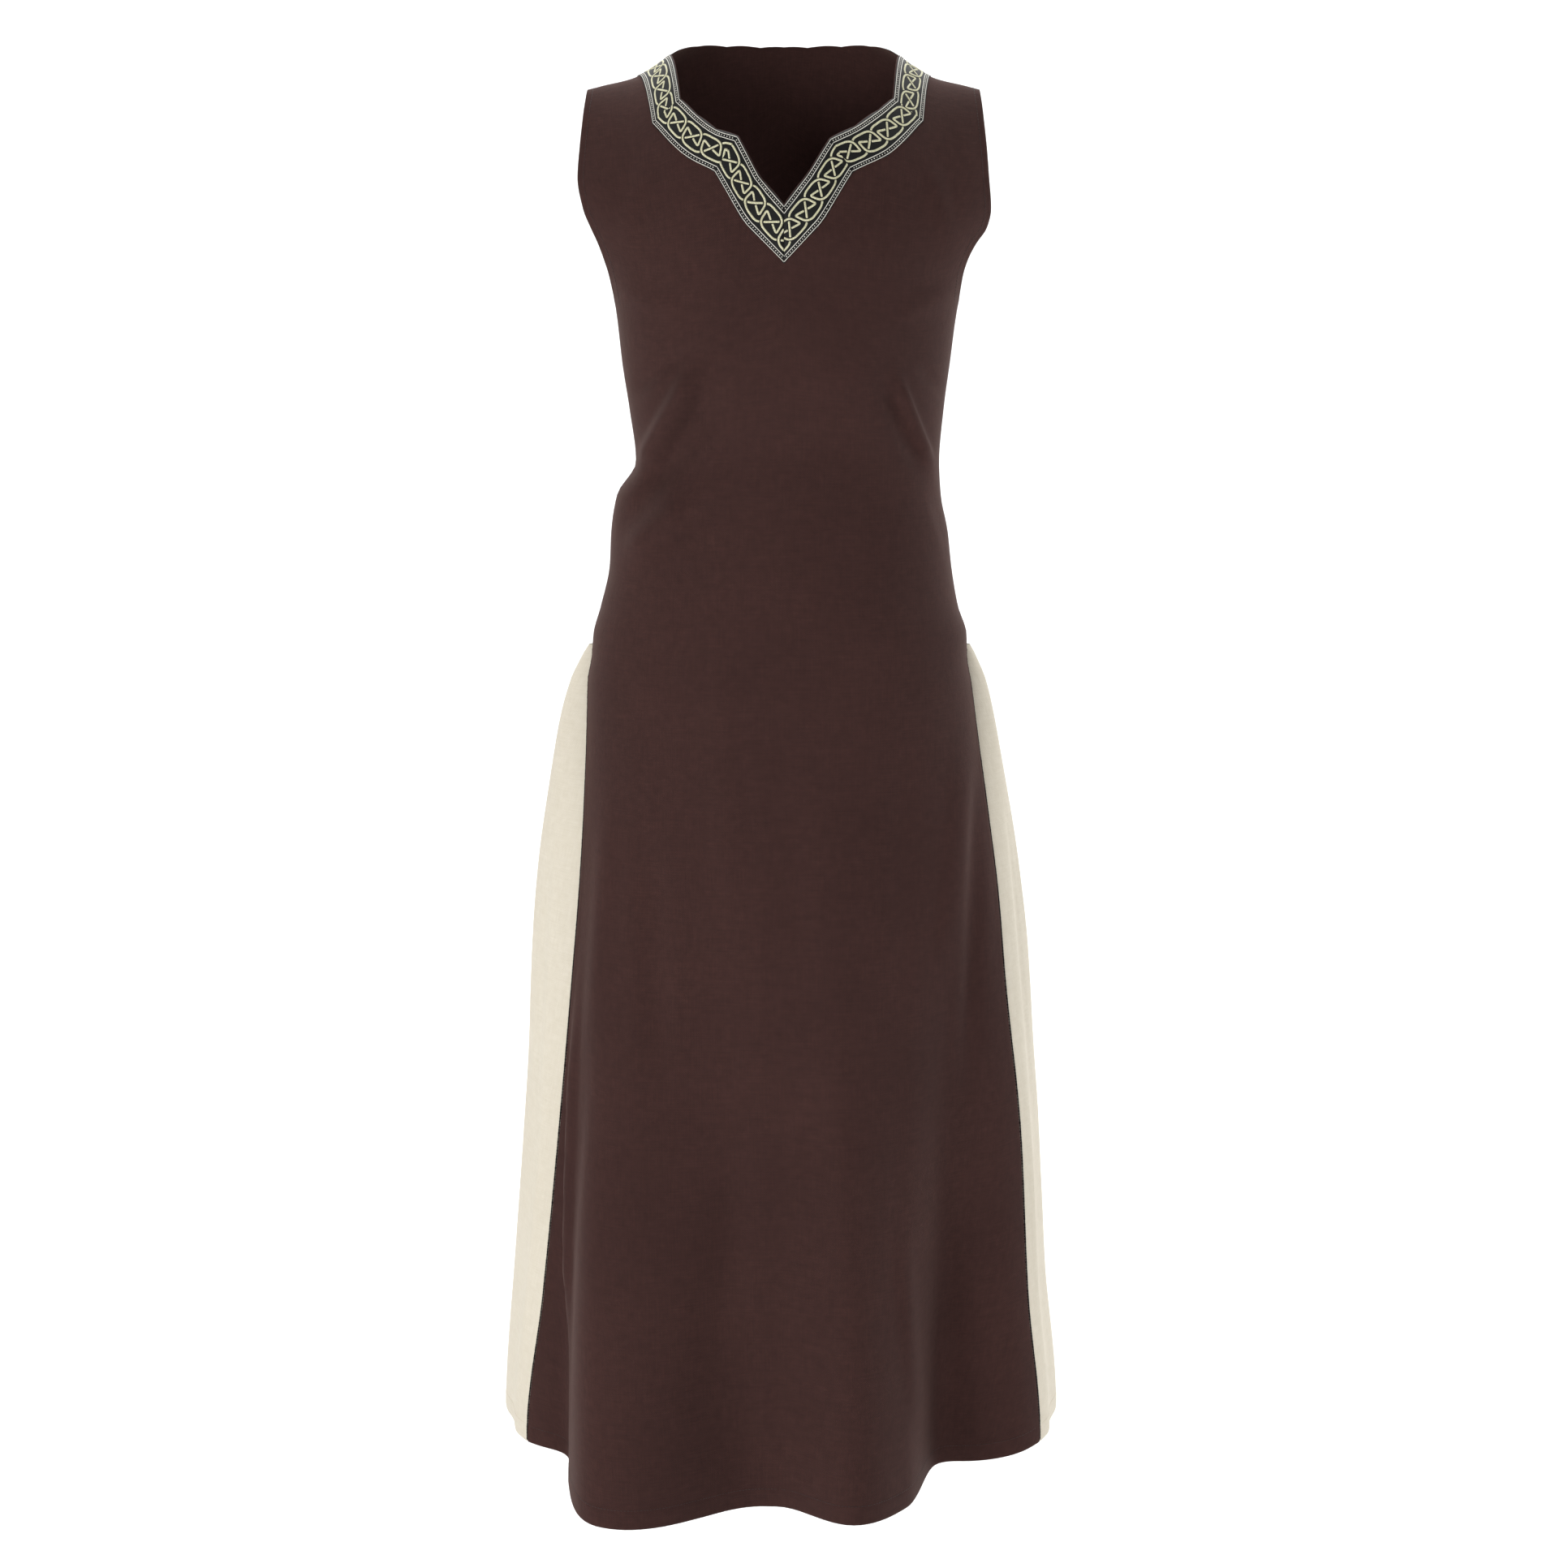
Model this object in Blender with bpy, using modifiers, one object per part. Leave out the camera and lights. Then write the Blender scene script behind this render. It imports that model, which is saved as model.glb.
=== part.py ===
"""Sleeveless medieval over-gown, held by the shoulders.

The gown hangs as it is worn: front to -Y, the wearer's left to +X, +Z up. The origin is midway between
the two shoulder seams. Each piece of cloth is an open surface with Solidify. A surface point is named by
x and by a laid height, which equals z on the body and runs on over the top of the shoulder.
"""
import bpy
import bmesh
import math
from mathutils import Vector

MM = 0.001
CLOTH = 1.5 * MM
RIBBON = 1.2 * MM
GAP = 0.3 * MM
ROLL = 0.24            # height over which the front and back bend over the shoulder
UNDERARM = -0.200
WAIST = -0.350
HEM = -1.370
GORE_TOP = -0.534
HALF_COLUMNS = 10
GORE_COLUMNS = 8
GORE_STRIP = 0.06      # the gore's narrow columns, as a share of its width
SEAM_STRIP = 4 * MM    # narrow facets beside every seam, so the facing rims stay parallel
SHOULDER_STRIP = 0.07  # the same beside the shoulder seam, as a share of the first neck line
# Lines across the neck band: the strip inside the first two stays bare, the ribbon covers the rest.
BANDS = (0.0, 0.06, 0.53, 1.0)

# Level sections. fl, fr: the front's half widths at its seams, photo-left and photo-right. fs: y of that
# seam. fc: y of the front's centre. bl, br, bs, bc: the same for the back. turn: how far round, in degrees,
# the section has come at its seam. From the hip down the gores fill the space between front and back.
RING_NAMES = ("z", "fl", "fr", "fs", "fc", "bl", "br", "bs", "bc", "turn")
RING = (
    (0.100, 0.222, 0.222, 0.000, -0.128, 0.222, 0.222, 0.000, 0.108, 90),
    (-0.080, 0.219, 0.220, 0.000, -0.130, 0.219, 0.220, 0.000, 0.115, 90),
    (-0.110, 0.209, 0.213, 0.000, -0.131, 0.209, 0.213, 0.000, 0.117, 90),
    (-0.145, 0.189, 0.194, 0.000, -0.132, 0.189, 0.194, 0.000, 0.117, 90),
    (-0.175, 0.172, 0.176, 0.000, -0.132, 0.172, 0.176, 0.000, 0.115, 90),
    (-0.200, 0.163, 0.168, 0.000, -0.132, 0.163, 0.168, 0.000, 0.112, 90),
    (-0.260, 0.156, 0.160, 0.002, -0.127, 0.156, 0.160, 0.002, 0.102, 90),
    (-0.300, 0.150, 0.155, 0.004, -0.119, 0.150, 0.155, 0.004, 0.094, 90),
    (-0.352, 0.144, 0.151, 0.005, -0.110, 0.144, 0.151, 0.005, 0.088, 90),
    (-0.385, 0.163, 0.153, 0.007, -0.110, 0.163, 0.153, 0.007, 0.093, 90),
    (-0.420, 0.169, 0.160, 0.009, -0.112, 0.169, 0.160, 0.009, 0.101, 90),
    (-0.455, 0.171, 0.164, 0.011, -0.114, 0.171, 0.164, 0.011, 0.110, 90),
    (-0.495, 0.180, 0.171, 0.013, -0.117, 0.180, 0.171, 0.013, 0.118, 90),
    (-0.525, 0.188, 0.180, 0.014, -0.119, 0.188, 0.180, 0.014, 0.123, 90),
    (-0.545, 0.189, 0.180, 0.006, -0.120, 0.189, 0.180, 0.023, 0.126, 89),
    (-0.570, 0.193, 0.184, -0.001, -0.122, 0.193, 0.184, 0.032, 0.131, 86),
    (-0.618, 0.194, 0.190, -0.011, -0.124, 0.196, 0.192, 0.048, 0.139, 82),
    (-0.700, 0.197, 0.201, -0.027, -0.127, 0.204, 0.202, 0.071, 0.156, 76),
    (-0.780, 0.202, 0.211, -0.036, -0.130, 0.211, 0.210, 0.090, 0.170, 71),
    (-0.865, 0.209, 0.218, -0.046, -0.132, 0.216, 0.216, 0.109, 0.185, 67),
    (-1.030, 0.224, 0.235, -0.052, -0.135, 0.222, 0.223, 0.147, 0.215, 63),
    (-1.200, 0.241, 0.244, -0.052, -0.137, 0.222, 0.223, 0.182, 0.243, 61),
    (-1.370, 0.260, 0.259, -0.042, -0.137, 0.218, 0.219, 0.212, 0.268, 60),
)
FULLNESS = 2.2         # how square the level sections are; 2 is an ellipse

# The gores' outermost line: half widths photo-left and photo-right, and its y.
GORE_NAMES = ("z", "left", "right", "y")
GORE = (
    (-0.525, 0.1890, 0.1810, 0.014),
    (-0.545, 0.1990, 0.1895, 0.015),
    (-0.570, 0.2110, 0.2000, 0.016),
    (-0.618, 0.2240, 0.2110, 0.017),
    (-0.700, 0.2360, 0.2245, 0.022),
    (-0.780, 0.2455, 0.2350, 0.027),
    (-0.865, 0.2530, 0.2450, 0.032),
    (-1.030, 0.2640, 0.2590, 0.042),
    (-1.200, 0.2780, 0.2690, 0.052),
    (-1.370, 0.2900, 0.2840, 0.072),
)
GORE_BEND = 0.35       # where the gore turns from the seam towards its outermost line

# Height of the shoulder line at a distance from the centre.
SHOULDER_NAMES = ("x", "z")
SHOULDER = (
    (0.000, 0.080),
    (0.035, 0.074),
    (0.070, 0.060),
    (0.100, 0.042),
    (0.122, 0.025),
    (0.145, 0.013),
    (0.170, 0.007),
    (0.200, 0.001),
)

# Armhole edge below the shoulder: half widths photo-left and photo-right.
ARM_NAMES = ("z", "left", "right")
ARMHOLE = (
    (0.010, 0.1880, 0.1870),
    (-0.022, 0.1908, 0.1893),
    (-0.052, 0.1934, 0.1919),
    (-0.082, 0.1953, 0.1940),
    (-0.112, 0.1900, 0.1964),
    (-0.128, 0.1834, 0.1930),
    (-0.143, 0.1765, 0.1827),
    (-0.158, 0.1712, 0.1750),
    (-0.174, 0.1668, 0.1705),
    (-0.200, 0.1630, 0.1680),
)

# Front neck, shoulder to V: neck edge x and z and ribbon's outer edge x and z on each side, how far down the
# armhole or side seam the row ends, and the number of rows down to the next line.
NECK_NAMES = ("lx", "lz", "lox", "loz", "rx", "rz", "rox", "roz", "arm", "rows")
FRONT_NECK = (
    (0.1105, 0.0370, 0.1405, 0.0180, 0.1105, 0.0370, 0.1405, 0.0180, 0.000, 3),
    (0.0965, -0.0106, 0.1233, -0.0336, 0.1019, -0.0097, 0.1308, -0.0309, 0.195, 1),
    (0.0809, -0.0257, 0.1060, -0.0524, 0.0880, -0.0212, 0.1130, -0.0499, 0.225, 1),
    (0.0625, -0.0397, 0.0890, -0.0670, 0.0656, -0.0370, 0.0959, -0.0647, 0.256, 1),
    (0.0421, -0.0463, 0.0647, -0.0794, 0.0421, -0.0485, 0.0637, -0.0799, 0.287, 2),
    (0.0232, -0.0745, 0.0356, -0.1172, 0.0232, -0.0757, 0.0350, -0.1175, 0.336, 1),
    (0.0168, -0.0839, 0.0259, -0.1298, 0.0168, -0.0848, 0.0255, -0.1300, 0.346, 1),
    (0.0000, -0.1090, 0.0000, -0.1634, 0.0000, -0.1090, 0.0000, -0.1634, 0.396, 0),
)

# Back neck, shoulder to centre: neck edge x and its laid drop from the shoulder line, the ribbon's outer
# edge the same way, how far down the armhole the row ends, and the rows to the next line.
BACK_NAMES = ("x", "drop", "ox", "odrop", "arm", "rows")
BACK_NECK = (
    (0.1105, 0.000, 0.1405, 0.000, 0.000, 2),
    (0.1005, 0.016, 0.1340, 0.040, 0.130, 2),
    (0.0830, 0.056, 0.1120, 0.094, 0.210, 2),
    (0.0560, 0.096, 0.0760, 0.148, 0.290, 1),
    (0.0230, 0.120, 0.0310, 0.177, 0.336, 1),
    (0.0000, 0.125, 0.0000, 0.184, 0.346, 0),
)
BACK_ROUND = 0.6       # the back is flatter on top of the shoulder than the front

# Rows under the neck: how far the centre line and the side have come towards the waist row.
FRONT_BIB_ROWS = 5
BACK_BIB_ROWS = 9
SKIRT_ROWS = (-0.385, -0.420, -0.455, -0.490, -0.525, -0.534, -0.548, -0.570, -0.618, -0.670, -0.725,
              -0.780, -0.840, -0.905, -0.970, -1.035, -1.100, -1.160, -1.220, -1.275, -1.325, -1.370)

# Hanging folds. x: centre line at the hem. lean: how far it moves outward at the hem from its top. out, in:
# half widths away from and towards photo-left and photo-right. depth: outward at the hem. top: starts here.
FOLD_NAMES = ("x", "lean", "wl", "wr", "depth", "top", "power")
FRONT_FOLDS = (
    (-0.150, -0.020, 0.058, 0.125, 0.086, -0.60, 1.5),
    (0.064, 0.010, 0.072, 0.086, 0.051, -0.66, 1.6),
    (0.190, 0.012, 0.062, 0.075, -0.064, -0.70, 1.6),
    (-0.232, -0.014, 0.034, 0.034, -0.044, -0.80, 1.5),
)
BACK_FOLDS = (
    (-0.120, -0.015, 0.060, 0.060, 0.038, -0.62, 1.5),
    (0.010, 0.004, 0.065, 0.065, 0.042, -0.66, 1.5),
    (0.130, 0.015, 0.058, 0.058, 0.036, -0.60, 1.5),
    (-0.055, -0.006, 0.045, 0.045, -0.022, -0.72, 1.5),
    (0.075, 0.008, 0.045, 0.045, -0.024, -0.72, 1.5),
)
# Folds of a gore, placed by the share of its width from the front seam.
GORE_FOLD_NAMES = ("at", "w", "depth")
GORE_FOLDS = (
    (0.26, 0.16, -0.005),
    (0.66, 0.20, -0.022),
    (0.86, 0.13, 0.012),
)

# Pulled folds at the waist: from x, z to x, z, half width, height.
PULL_NAMES = ("x0", "z0", "x1", "z1", "w", "h")
FRONT_PULLS = (
    (-0.138, -0.368, -0.080, -0.290, 0.022, 0.008),
    (-0.150, -0.430, -0.092, -0.375, 0.024, 0.005),
    (0.145, -0.372, 0.106, -0.282, 0.022, 0.007),
    (-0.136, -0.335, -0.095, -0.262, 0.018, -0.004),
)
BACK_PULLS = (
    (-0.138, -0.372, -0.060, -0.335, 0.026, 0.007),
    (0.142, -0.374, 0.055, -0.330, 0.026, 0.007),
    (-0.140, -0.425, -0.050, -0.390, 0.026, 0.005),
    (0.138, -0.420, 0.060, -0.395, 0.026, 0.005),
)

# Points inside the gown, to tell its outer faces by.
SKIRT_HEART = Vector((0.0, 0.03, -0.70))
CHEST_HEART = Vector((0.0, 0.0, -0.25))

HEM_NAMES = ("x", "front", "back")
HEM_LIFT = (
    (0.00, 0.000, 0.004),
    (0.10, 0.000, 0.004),
    (0.20, 0.008, 0.010),
    (0.26, 0.019, 0.014),
    (0.28, 0.028, 0.018),
    (0.30, 0.034, 0.020),
)


def column(table, names, name, at):
    """A named column of a table, read smoothly at a value of its first column."""
    k = names.index(name)
    rows = sorted(table)
    at = min(max(at, rows[0][0]), rows[-1][0])
    i = 0
    while i < len(rows) - 2 and at > rows[i + 1][0]:
        i += 1

    def slope(j):
        if j == 0 or j == len(rows) - 1:
            return 0.0
        before = (rows[j][k] - rows[j - 1][k]) / (rows[j][0] - rows[j - 1][0])
        after = (rows[j + 1][k] - rows[j][k]) / (rows[j + 1][0] - rows[j][0])
        if before * after <= 0:
            return 0.0
        return 2 * before * after / (before + after)

    a, b = rows[i], rows[i + 1]
    step = b[0] - a[0]
    t = (at - a[0]) / step
    h = t * t * (3 - 2 * t)
    return (a[k] * (1 - h) + b[k] * h + step * slope(i) * t * (1 - t) ** 2
            - step * slope(i + 1) * t * t * (1 - t))


def ring(name, z):
    return column(RING, RING_NAMES, name, z)


def shoulder(x):
    return column(SHOULDER, SHOULDER_NAMES, "z", abs(x))


def bump(u):
    """A soft rise: 1 at 0, falling to 0 at -1 and 1."""
    return math.cos(math.pi * u / 2) ** 2 if abs(u) < 1 else 0.0


def half_width(side, x, z):
    if side == "front":
        return ring("fl" if x < 0 else "fr", z)
    return ring("bl" if x < 0 else "br", z)


def relief(side, x, z, width):
    """Height of the folds above the plain form, along its outward normal."""
    total = 0.0
    for fx, lean, wl, wr, depth, top, power in FRONT_FOLDS if side == "front" else BACK_FOLDS:
        if z >= top:
            continue
        fall = (top - z) / (top - HEM)
        centre = fx - lean * (1 - fall)
        spread = 0.75 + 0.25 * fall
        u = (x - centre) / (spread * (wl if x < centre else wr))
        total += depth * fall ** power * bump(u)
    for x0, z0, x1, z1, w, h in FRONT_PULLS if side == "front" else BACK_PULLS:
        run, rise = x1 - x0, z1 - z0
        along = ((x - x0) * run + (z - z0) * rise) / (run * run + rise * rise)
        away = abs((x - x0) * rise - (z - z0) * run) / math.hypot(run, rise)
        total += h * bump(away / w) * bump(2 * along - 1)
    return total * (1 - min(1.0, abs(x) / width) ** 16)


def lay(side, x, laid):
    """The point of the front or back named by x and its laid height."""
    top = shoulder(x)
    over = laid - (top - ROLL)
    if over <= 0:
        z, tip = laid, 0.0
    else:
        tip = min(over / ROLL, math.pi / 2)
        z = top - ROLL + ROLL * math.sin(tip)
    width = max(half_width(side, x, z), abs(x))
    edge, middle = (ring("fs", z), ring("fc", z)) if side == "front" else (ring("bs", z), ring("bc", z))
    turn = math.sin(math.radians(ring("turn", z)))
    reach = min(1.0, (abs(x) / width) ** (FULLNESS / 2) * turn)
    level = math.cos(math.asin(reach)) ** (2 / FULLNESS)
    low = math.cos(math.asin(turn)) ** (2 / FULLNESS) if turn < 0.9999 else 0.0
    depth = (middle - edge) * (level - low) / (1 - low)
    bend = math.cos(tip) if side == "front" else max(math.cos(tip), 0.0) ** BACK_ROUND
    y = edge * (1.0 if over <= 0 else bend) + depth * bend
    out = Vector((x / width ** 2, (y - edge) / max(middle ** 2, 1e-6), 0)).normalized()
    point = Vector((x, y, z)) + out * relief(side, x, z, width)
    lift = column(HEM_LIFT, HEM_NAMES, side, abs(x))
    if z < WAIST:
        point.z += lift * (WAIST - z) / (WAIST - HEM)
    return point


def laid_height(x, z):
    """Laid height of the front's point at x and z."""
    base = shoulder(x) - ROLL
    if z <= base:
        return z
    return base + ROLL * math.asin(min(1.0, (z - base) / ROLL))


def laid_drop(x, drop):
    return shoulder(x) - ROLL + ROLL * math.pi / 2 - drop


def side_name(sign):
    return "left" if sign < 0 else "right"


def outer_end(side, sign, drop):
    """Where a row ends on the armhole or side seam, this far down from the shoulder line."""
    z = -drop
    for settle in range(4):
        x = column(ARMHOLE, ARM_NAMES, side_name(sign), z)
        base = shoulder(x) - ROLL
        laid = laid_drop(x, drop)
        z = base + ROLL * math.sin((laid - base) / ROLL) if laid > base else laid
    if z > UNDERARM:
        return sign * x, laid
    z = min(z, UNDERARM)
    return sign * half_width(side, sign, z), z


def mix(a, b, t):
    return a + (b - a) * t


def mix2(a, b, t):
    return (mix(a[0], b[0], t), mix(a[1], b[1], t))


def neck_stations(side, sign):
    """Rows of the neck: neck edge, ribbon edge, outer end and how level each row runs."""
    rows = []
    table = FRONT_NECK if side == "front" else BACK_NECK
    for number, row in enumerate(table):
        if side == "front":
            shift = 0 if sign < 0 else 4
            nx, nz, ox, oz = row[shift:shift + 4]
            arm, count = row[8], row[9]
            edge = (sign * nx, laid_drop(nx, 0) if number == 0 else laid_height(nx, nz))
            rim = (sign * ox, laid_drop(ox, 0) if number == 0 else laid_height(ox, oz))
        else:
            nx, drop, ox, odrop, arm, count = row
            edge = (sign * nx, laid_drop(nx, drop))
            rim = (sign * ox, laid_drop(ox, odrop))
        rows.append((edge, rim, arm, number / (len(table) - 1), count))
    out = []
    for a, b in zip(rows, rows[1:]):
        shares = [step / a[4] for step in range(a[4])]
        if a is rows[0]:
            shares.insert(1, SHOULDER_STRIP)
        for t in shares:
            out.append((between(a[0], b[0], t), between(a[1], b[1], t), mix(a[2], b[2], t), mix(a[3], b[3], t)))
    out.append(rows[-1][:4])
    return out


def between(a, b, t):
    """A point on the straight cut line between two laid points."""
    x = mix(a[0], b[0], t)
    drop = mix(laid_drop(a[0], 0) - a[1], laid_drop(b[0], 0) - b[1], t)
    return (x, laid_drop(x, drop))


def across(side, start, end, level, share):
    """A point part of the way along a row."""
    width = max(half_width(side, end[0], min(end[1], 0.0)), abs(end[0]))
    turn = math.radians(ring("turn", min(end[1], 0.0)))
    swing = math.asin(min(1.0, math.sin(turn) * (abs(end[0]) / width) ** (FULLNESS / 2)))
    bow = math.sin(share * swing) ** (2 / FULLNESS) / math.sin(swing) ** (2 / FULLNESS) if share > 0 else 0.0
    bow = mix(share, bow, min(1.0, level * 1.2))
    x = mix(start[0], end[0], bow)
    drop = mix(laid_drop(start[0], 0) - start[1], laid_drop(end[0], 0) - end[1], bow)
    flat = mix(start[1], end[1], bow)
    return (x, mix(laid_drop(x, drop), flat, level))


def seam_strip_direction(side, sign, z):
    """The way the other panel leaves a side seam."""
    end = (sign * half_width(side, sign, z), z)
    x, laid = across(side, (0.0, z), end, 1.0, 1 - SEAM_STRIP / 0.24)
    return lay(side, x, laid) - lay(side, *end)


def column_shares(length):
    """Shares across a row, with one narrow column beside the seam."""
    strip = SEAM_STRIP / length
    shares = [(1 - strip) * i / (HALF_COLUMNS - 1) for i in range(HALF_COLUMNS)]
    return shares + [1.0]


def half_rows(side, sign):
    """Rows of one half of the front or back, each from its inner to its outer end."""
    stations = neck_stations(side, sign)
    rows = []
    for edge, rim, arm, level in stations:
        rows.append((rim, outer_end(side, sign, arm), level))
    inner, outer = rows[-1][0], rows[-1][1]
    count = FRONT_BIB_ROWS if side == "front" else BACK_BIB_ROWS
    for i in range(1, count + 1):
        z = mix(outer[1], WAIST, i / count)
        rows.append(((0.0, mix(inner[1], WAIST, i / count)), (sign * half_width(side, sign, z), z), 1.0))
    for z in SKIRT_ROWS:
        rows.append(((0.0, z), (sign * half_width(side, sign, z), z), 1.0))
    return stations, rows


def sheet(mesh_data, columns, rows, place):
    """A flat grid of cloth in triangles, every corner of it then laid in its place."""
    old_verts, old_faces = set(mesh_data.verts), set(mesh_data.faces)
    bmesh.ops.create_grid(mesh_data, x_segments=columns, y_segments=rows, size=1.0)
    faces = [f for f in mesh_data.faces if f not in old_faces]
    bmesh.ops.triangulate(mesh_data, faces=faces, quad_method="FIXED")
    verts = [v for v in mesh_data.verts if v not in old_verts]
    for vert in verts:
        i = round((vert.co.x + 1) / 2 * columns)
        j = round((1 - vert.co.y) / 2 * rows)
        vert.co = place(i, j)
    return verts


def half_gap(own, beyond):
    """Half the gap at a seam: wider where the two pieces meet at an angle, so their walls clear."""
    angle = own.angle(beyond, 0.0)
    return 0.7 * GAP + CLOTH / 2 * math.tan(min(angle, 1.5) / 2)


def seam_point(side, sign, z):
    return lay(side, sign * half_width(side, sign, z), z)


def half_panel(mesh_data, side, sign):
    stations, rows = half_rows(side, sign)
    toward = -1 if side == "front" else 1
    shares = column_shares(0.24)

    def point(row, share):
        start, end, level = row
        x, laid = across(side, start, end, level, share)
        return lay(side, x, laid)

    def on_seam(row):
        """The last point of a row, half a gap short of the side or gore seam."""
        spot = point(row, 1.0)
        z = row[1][1]
        if z > UNDERARM:
            return spot
        own = (spot - point(row, shares[-2])).normalized()
        if z > GORE_TOP + 0.001:
            other = "back" if side == "front" else "front"
            beyond = seam_strip_direction(other, sign, z)
        else:
            edge, near = (0.0, GORE_STRIP) if side == "front" else (1.0, 1 - GORE_STRIP)
            beyond = gore_point(sign, z, near) - gore_point(sign, z, edge)
        return spot - own * half_gap(own, beyond)

    def place(i, j):
        if i == HALF_COLUMNS:
            spot = on_seam(rows[j])
        else:
            spot = point(rows[j], shares[i])
        if j == 0:
            spot.y = toward * GAP / 2
        return spot

    sheet(mesh_data, HALF_COLUMNS, len(rows) - 1, place)

    band(mesh_data, side, sign, toward * GAP / 2, BANDS)


def band(mesh_data, side, sign, seam_y, lines):
    """The strip beside the neck edge, between two of the lines that run along the neck."""
    stations = neck_stations(side, sign)

    def place(i, j):
        edge, rim = stations[j][:2]
        x, laid = between(edge, rim, lines[i])
        spot = lay(side, x, laid)
        if j == 0:
            spot.y = seam_y
        return spot

    return sheet(mesh_data, len(lines) - 1, len(stations) - 1, place)


def face_outward(mesh_data, heart):
    """Turns all faces the way that points away from a point inside the gown."""
    bmesh.ops.recalc_face_normals(mesh_data, faces=mesh_data.faces)
    mesh_data.normal_update()
    if sum(f.normal.dot(f.calc_center_median() - heart) * f.calc_area() for f in mesh_data.faces) < 0:
        bmesh.ops.reverse_faces(mesh_data, faces=mesh_data.faces)
    mesh_data.normal_update()


def finish(name, mesh_data, heart, look, thickness, group):
    bmesh.ops.remove_doubles(mesh_data, verts=mesh_data.verts, dist=0.00005)
    face_outward(mesh_data, heart)
    mesh = bpy.data.meshes.new(name)
    mesh_data.to_mesh(mesh)
    mesh_data.free()
    mesh.materials.append(look)
    mesh.shade_smooth()
    thing = bpy.data.objects.new(name, mesh)
    group.objects.link(thing)
    wall = thing.modifiers.new("wall", "SOLIDIFY")
    wall.thickness = thickness
    wall.offset = 0.0
    wall.use_rim = True
    wall.use_quality_normals = True
    return thing


def make_panel(side, look, group):
    mesh_data = bmesh.new()
    half_panel(mesh_data, side, -1)
    half_panel(mesh_data, side, 1)
    return finish(side + "_panel", mesh_data, SKIRT_HEART, look, CLOTH, group)


def gore_row(sign, z):
    """Front seam, outermost and back seam points of a gore at a height, inside the seam gaps."""
    front = lay("front", sign * half_width("front", sign, z), z)
    back = lay("back", sign * half_width("back", sign, z), z)
    x = sign * column(GORE, GORE_NAMES, side_name(sign), z)
    y = column(GORE, GORE_NAMES, "y", z)
    lift = column(HEM_LIFT, HEM_NAMES, "front", abs(x)) * (WAIST - z) / (WAIST - HEM)
    return front, Vector((x, y, z + lift)), back


def bend_between(a, control, b, t):
    return a * (1 - t) ** 2 + control * (2 * t * (1 - t)) + b * t * t


def gore_point(sign, z, share):
    front, out, back = gore_row(sign, z)
    if share <= 0.5:
        control = Vector((out.x, mix(front.y, out.y, GORE_BEND), mix(front.z, out.z, 0.5)))
        point = bend_between(front, control, out, share * 2)
    else:
        control = Vector((out.x, mix(back.y, out.y, GORE_BEND), mix(back.z, out.z, 0.5)))
        point = bend_between(out, control, back, share * 2 - 1)
    fall = max(0.0, (-0.62 - z) / (-0.62 - HEM)) ** 1.4
    for at, w, depth in GORE_FOLDS:
        # The outermost line stays where it is; folds either side of it go in and out.
        point.x += sign * depth * fall * bump((share - at) / w)
    return point


def make_gore(sign, look, group):
    heights = [z for z in SKIRT_ROWS if z <= GORE_TOP]
    mesh_data = bmesh.new()

    def place(i, j):
        z = heights[j]
        if i in (0, GORE_COLUMNS):
            share = 0.0 if i == 0 else 1.0
            side = "front" if i == 0 else "back"
            spot = gore_point(sign, z, share)
            inward = (gore_point(sign, z, abs(share - GORE_STRIP)) - spot).normalized()
            return spot + inward * half_gap(-inward, seam_strip_direction(side, sign, z))
        return gore_point(sign, z, mix(GORE_STRIP, 1 - GORE_STRIP, (i - 1) / (GORE_COLUMNS - 2)))

    sheet(mesh_data, GORE_COLUMNS, len(heights) - 1, place)
    return finish("gore_" + side_name(sign), mesh_data, SKIRT_HEART, look, CLOTH, group)


def make_ribbon(look, group):
    """The ribbon lies on the panels' own neck bands, one length with its ends meeting at the V."""
    mesh_data = bmesh.new()
    for side, sign in (("front", -1), ("back", -1), ("back", 1), ("front", 1)):
        verts = band(mesh_data, side, sign, 0.0, BANDS[1:])
        if side == "front":
            for vert in [v for v in verts if abs(v.co.x) < 0.0001]:
                vert.co.x = sign * GAP / 2
    bmesh.ops.remove_doubles(mesh_data, verts=mesh_data.verts, dist=0.00005)
    face_outward(mesh_data, CHEST_HEART)
    lift = CLOTH / 2 + GAP + RIBBON / 2
    moves = [(v, v.normal * lift) for v in mesh_data.verts]
    for vert, move in moves:
        if abs(vert.co.x) < GAP and vert.co.y < 0:
            move.x = 0
        vert.co += move
    return finish("neck_ribbon", mesh_data, CHEST_HEART, look, RIBBON, group)


def material(name, colour, roughness):
    look = bpy.data.materials.new(name)
    look.use_nodes = True
    shader = look.node_tree.nodes["Principled BSDF"]
    shader.inputs["Base Color"].default_value = (*colour, 1.0)
    shader.inputs["Roughness"].default_value = roughness
    shader.inputs["Metallic"].default_value = 0.0
    return look


def main():
    for thing in list(bpy.data.objects):
        bpy.data.objects.remove(thing, do_unlink=True)
    group = bpy.data.collections.new("medieval_gown")
    bpy.context.scene.collection.children.link(group)
    brown = (0.054, 0.024, 0.022)
    cream = (0.708, 0.651, 0.533)
    make_panel("front", material("front_cotton", brown, 0.92), group)
    make_panel("back", material("back_cotton", brown, 0.92), group)
    make_gore(-1, material("gore_left_cotton", cream, 0.9), group)
    make_gore(1, material("gore_right_cotton", cream, 0.9), group)
    make_ribbon(material("knot_ribbon", (0.006, 0.006, 0.005), 0.7), group)


if __name__ == "__main__":
    main()
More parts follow.
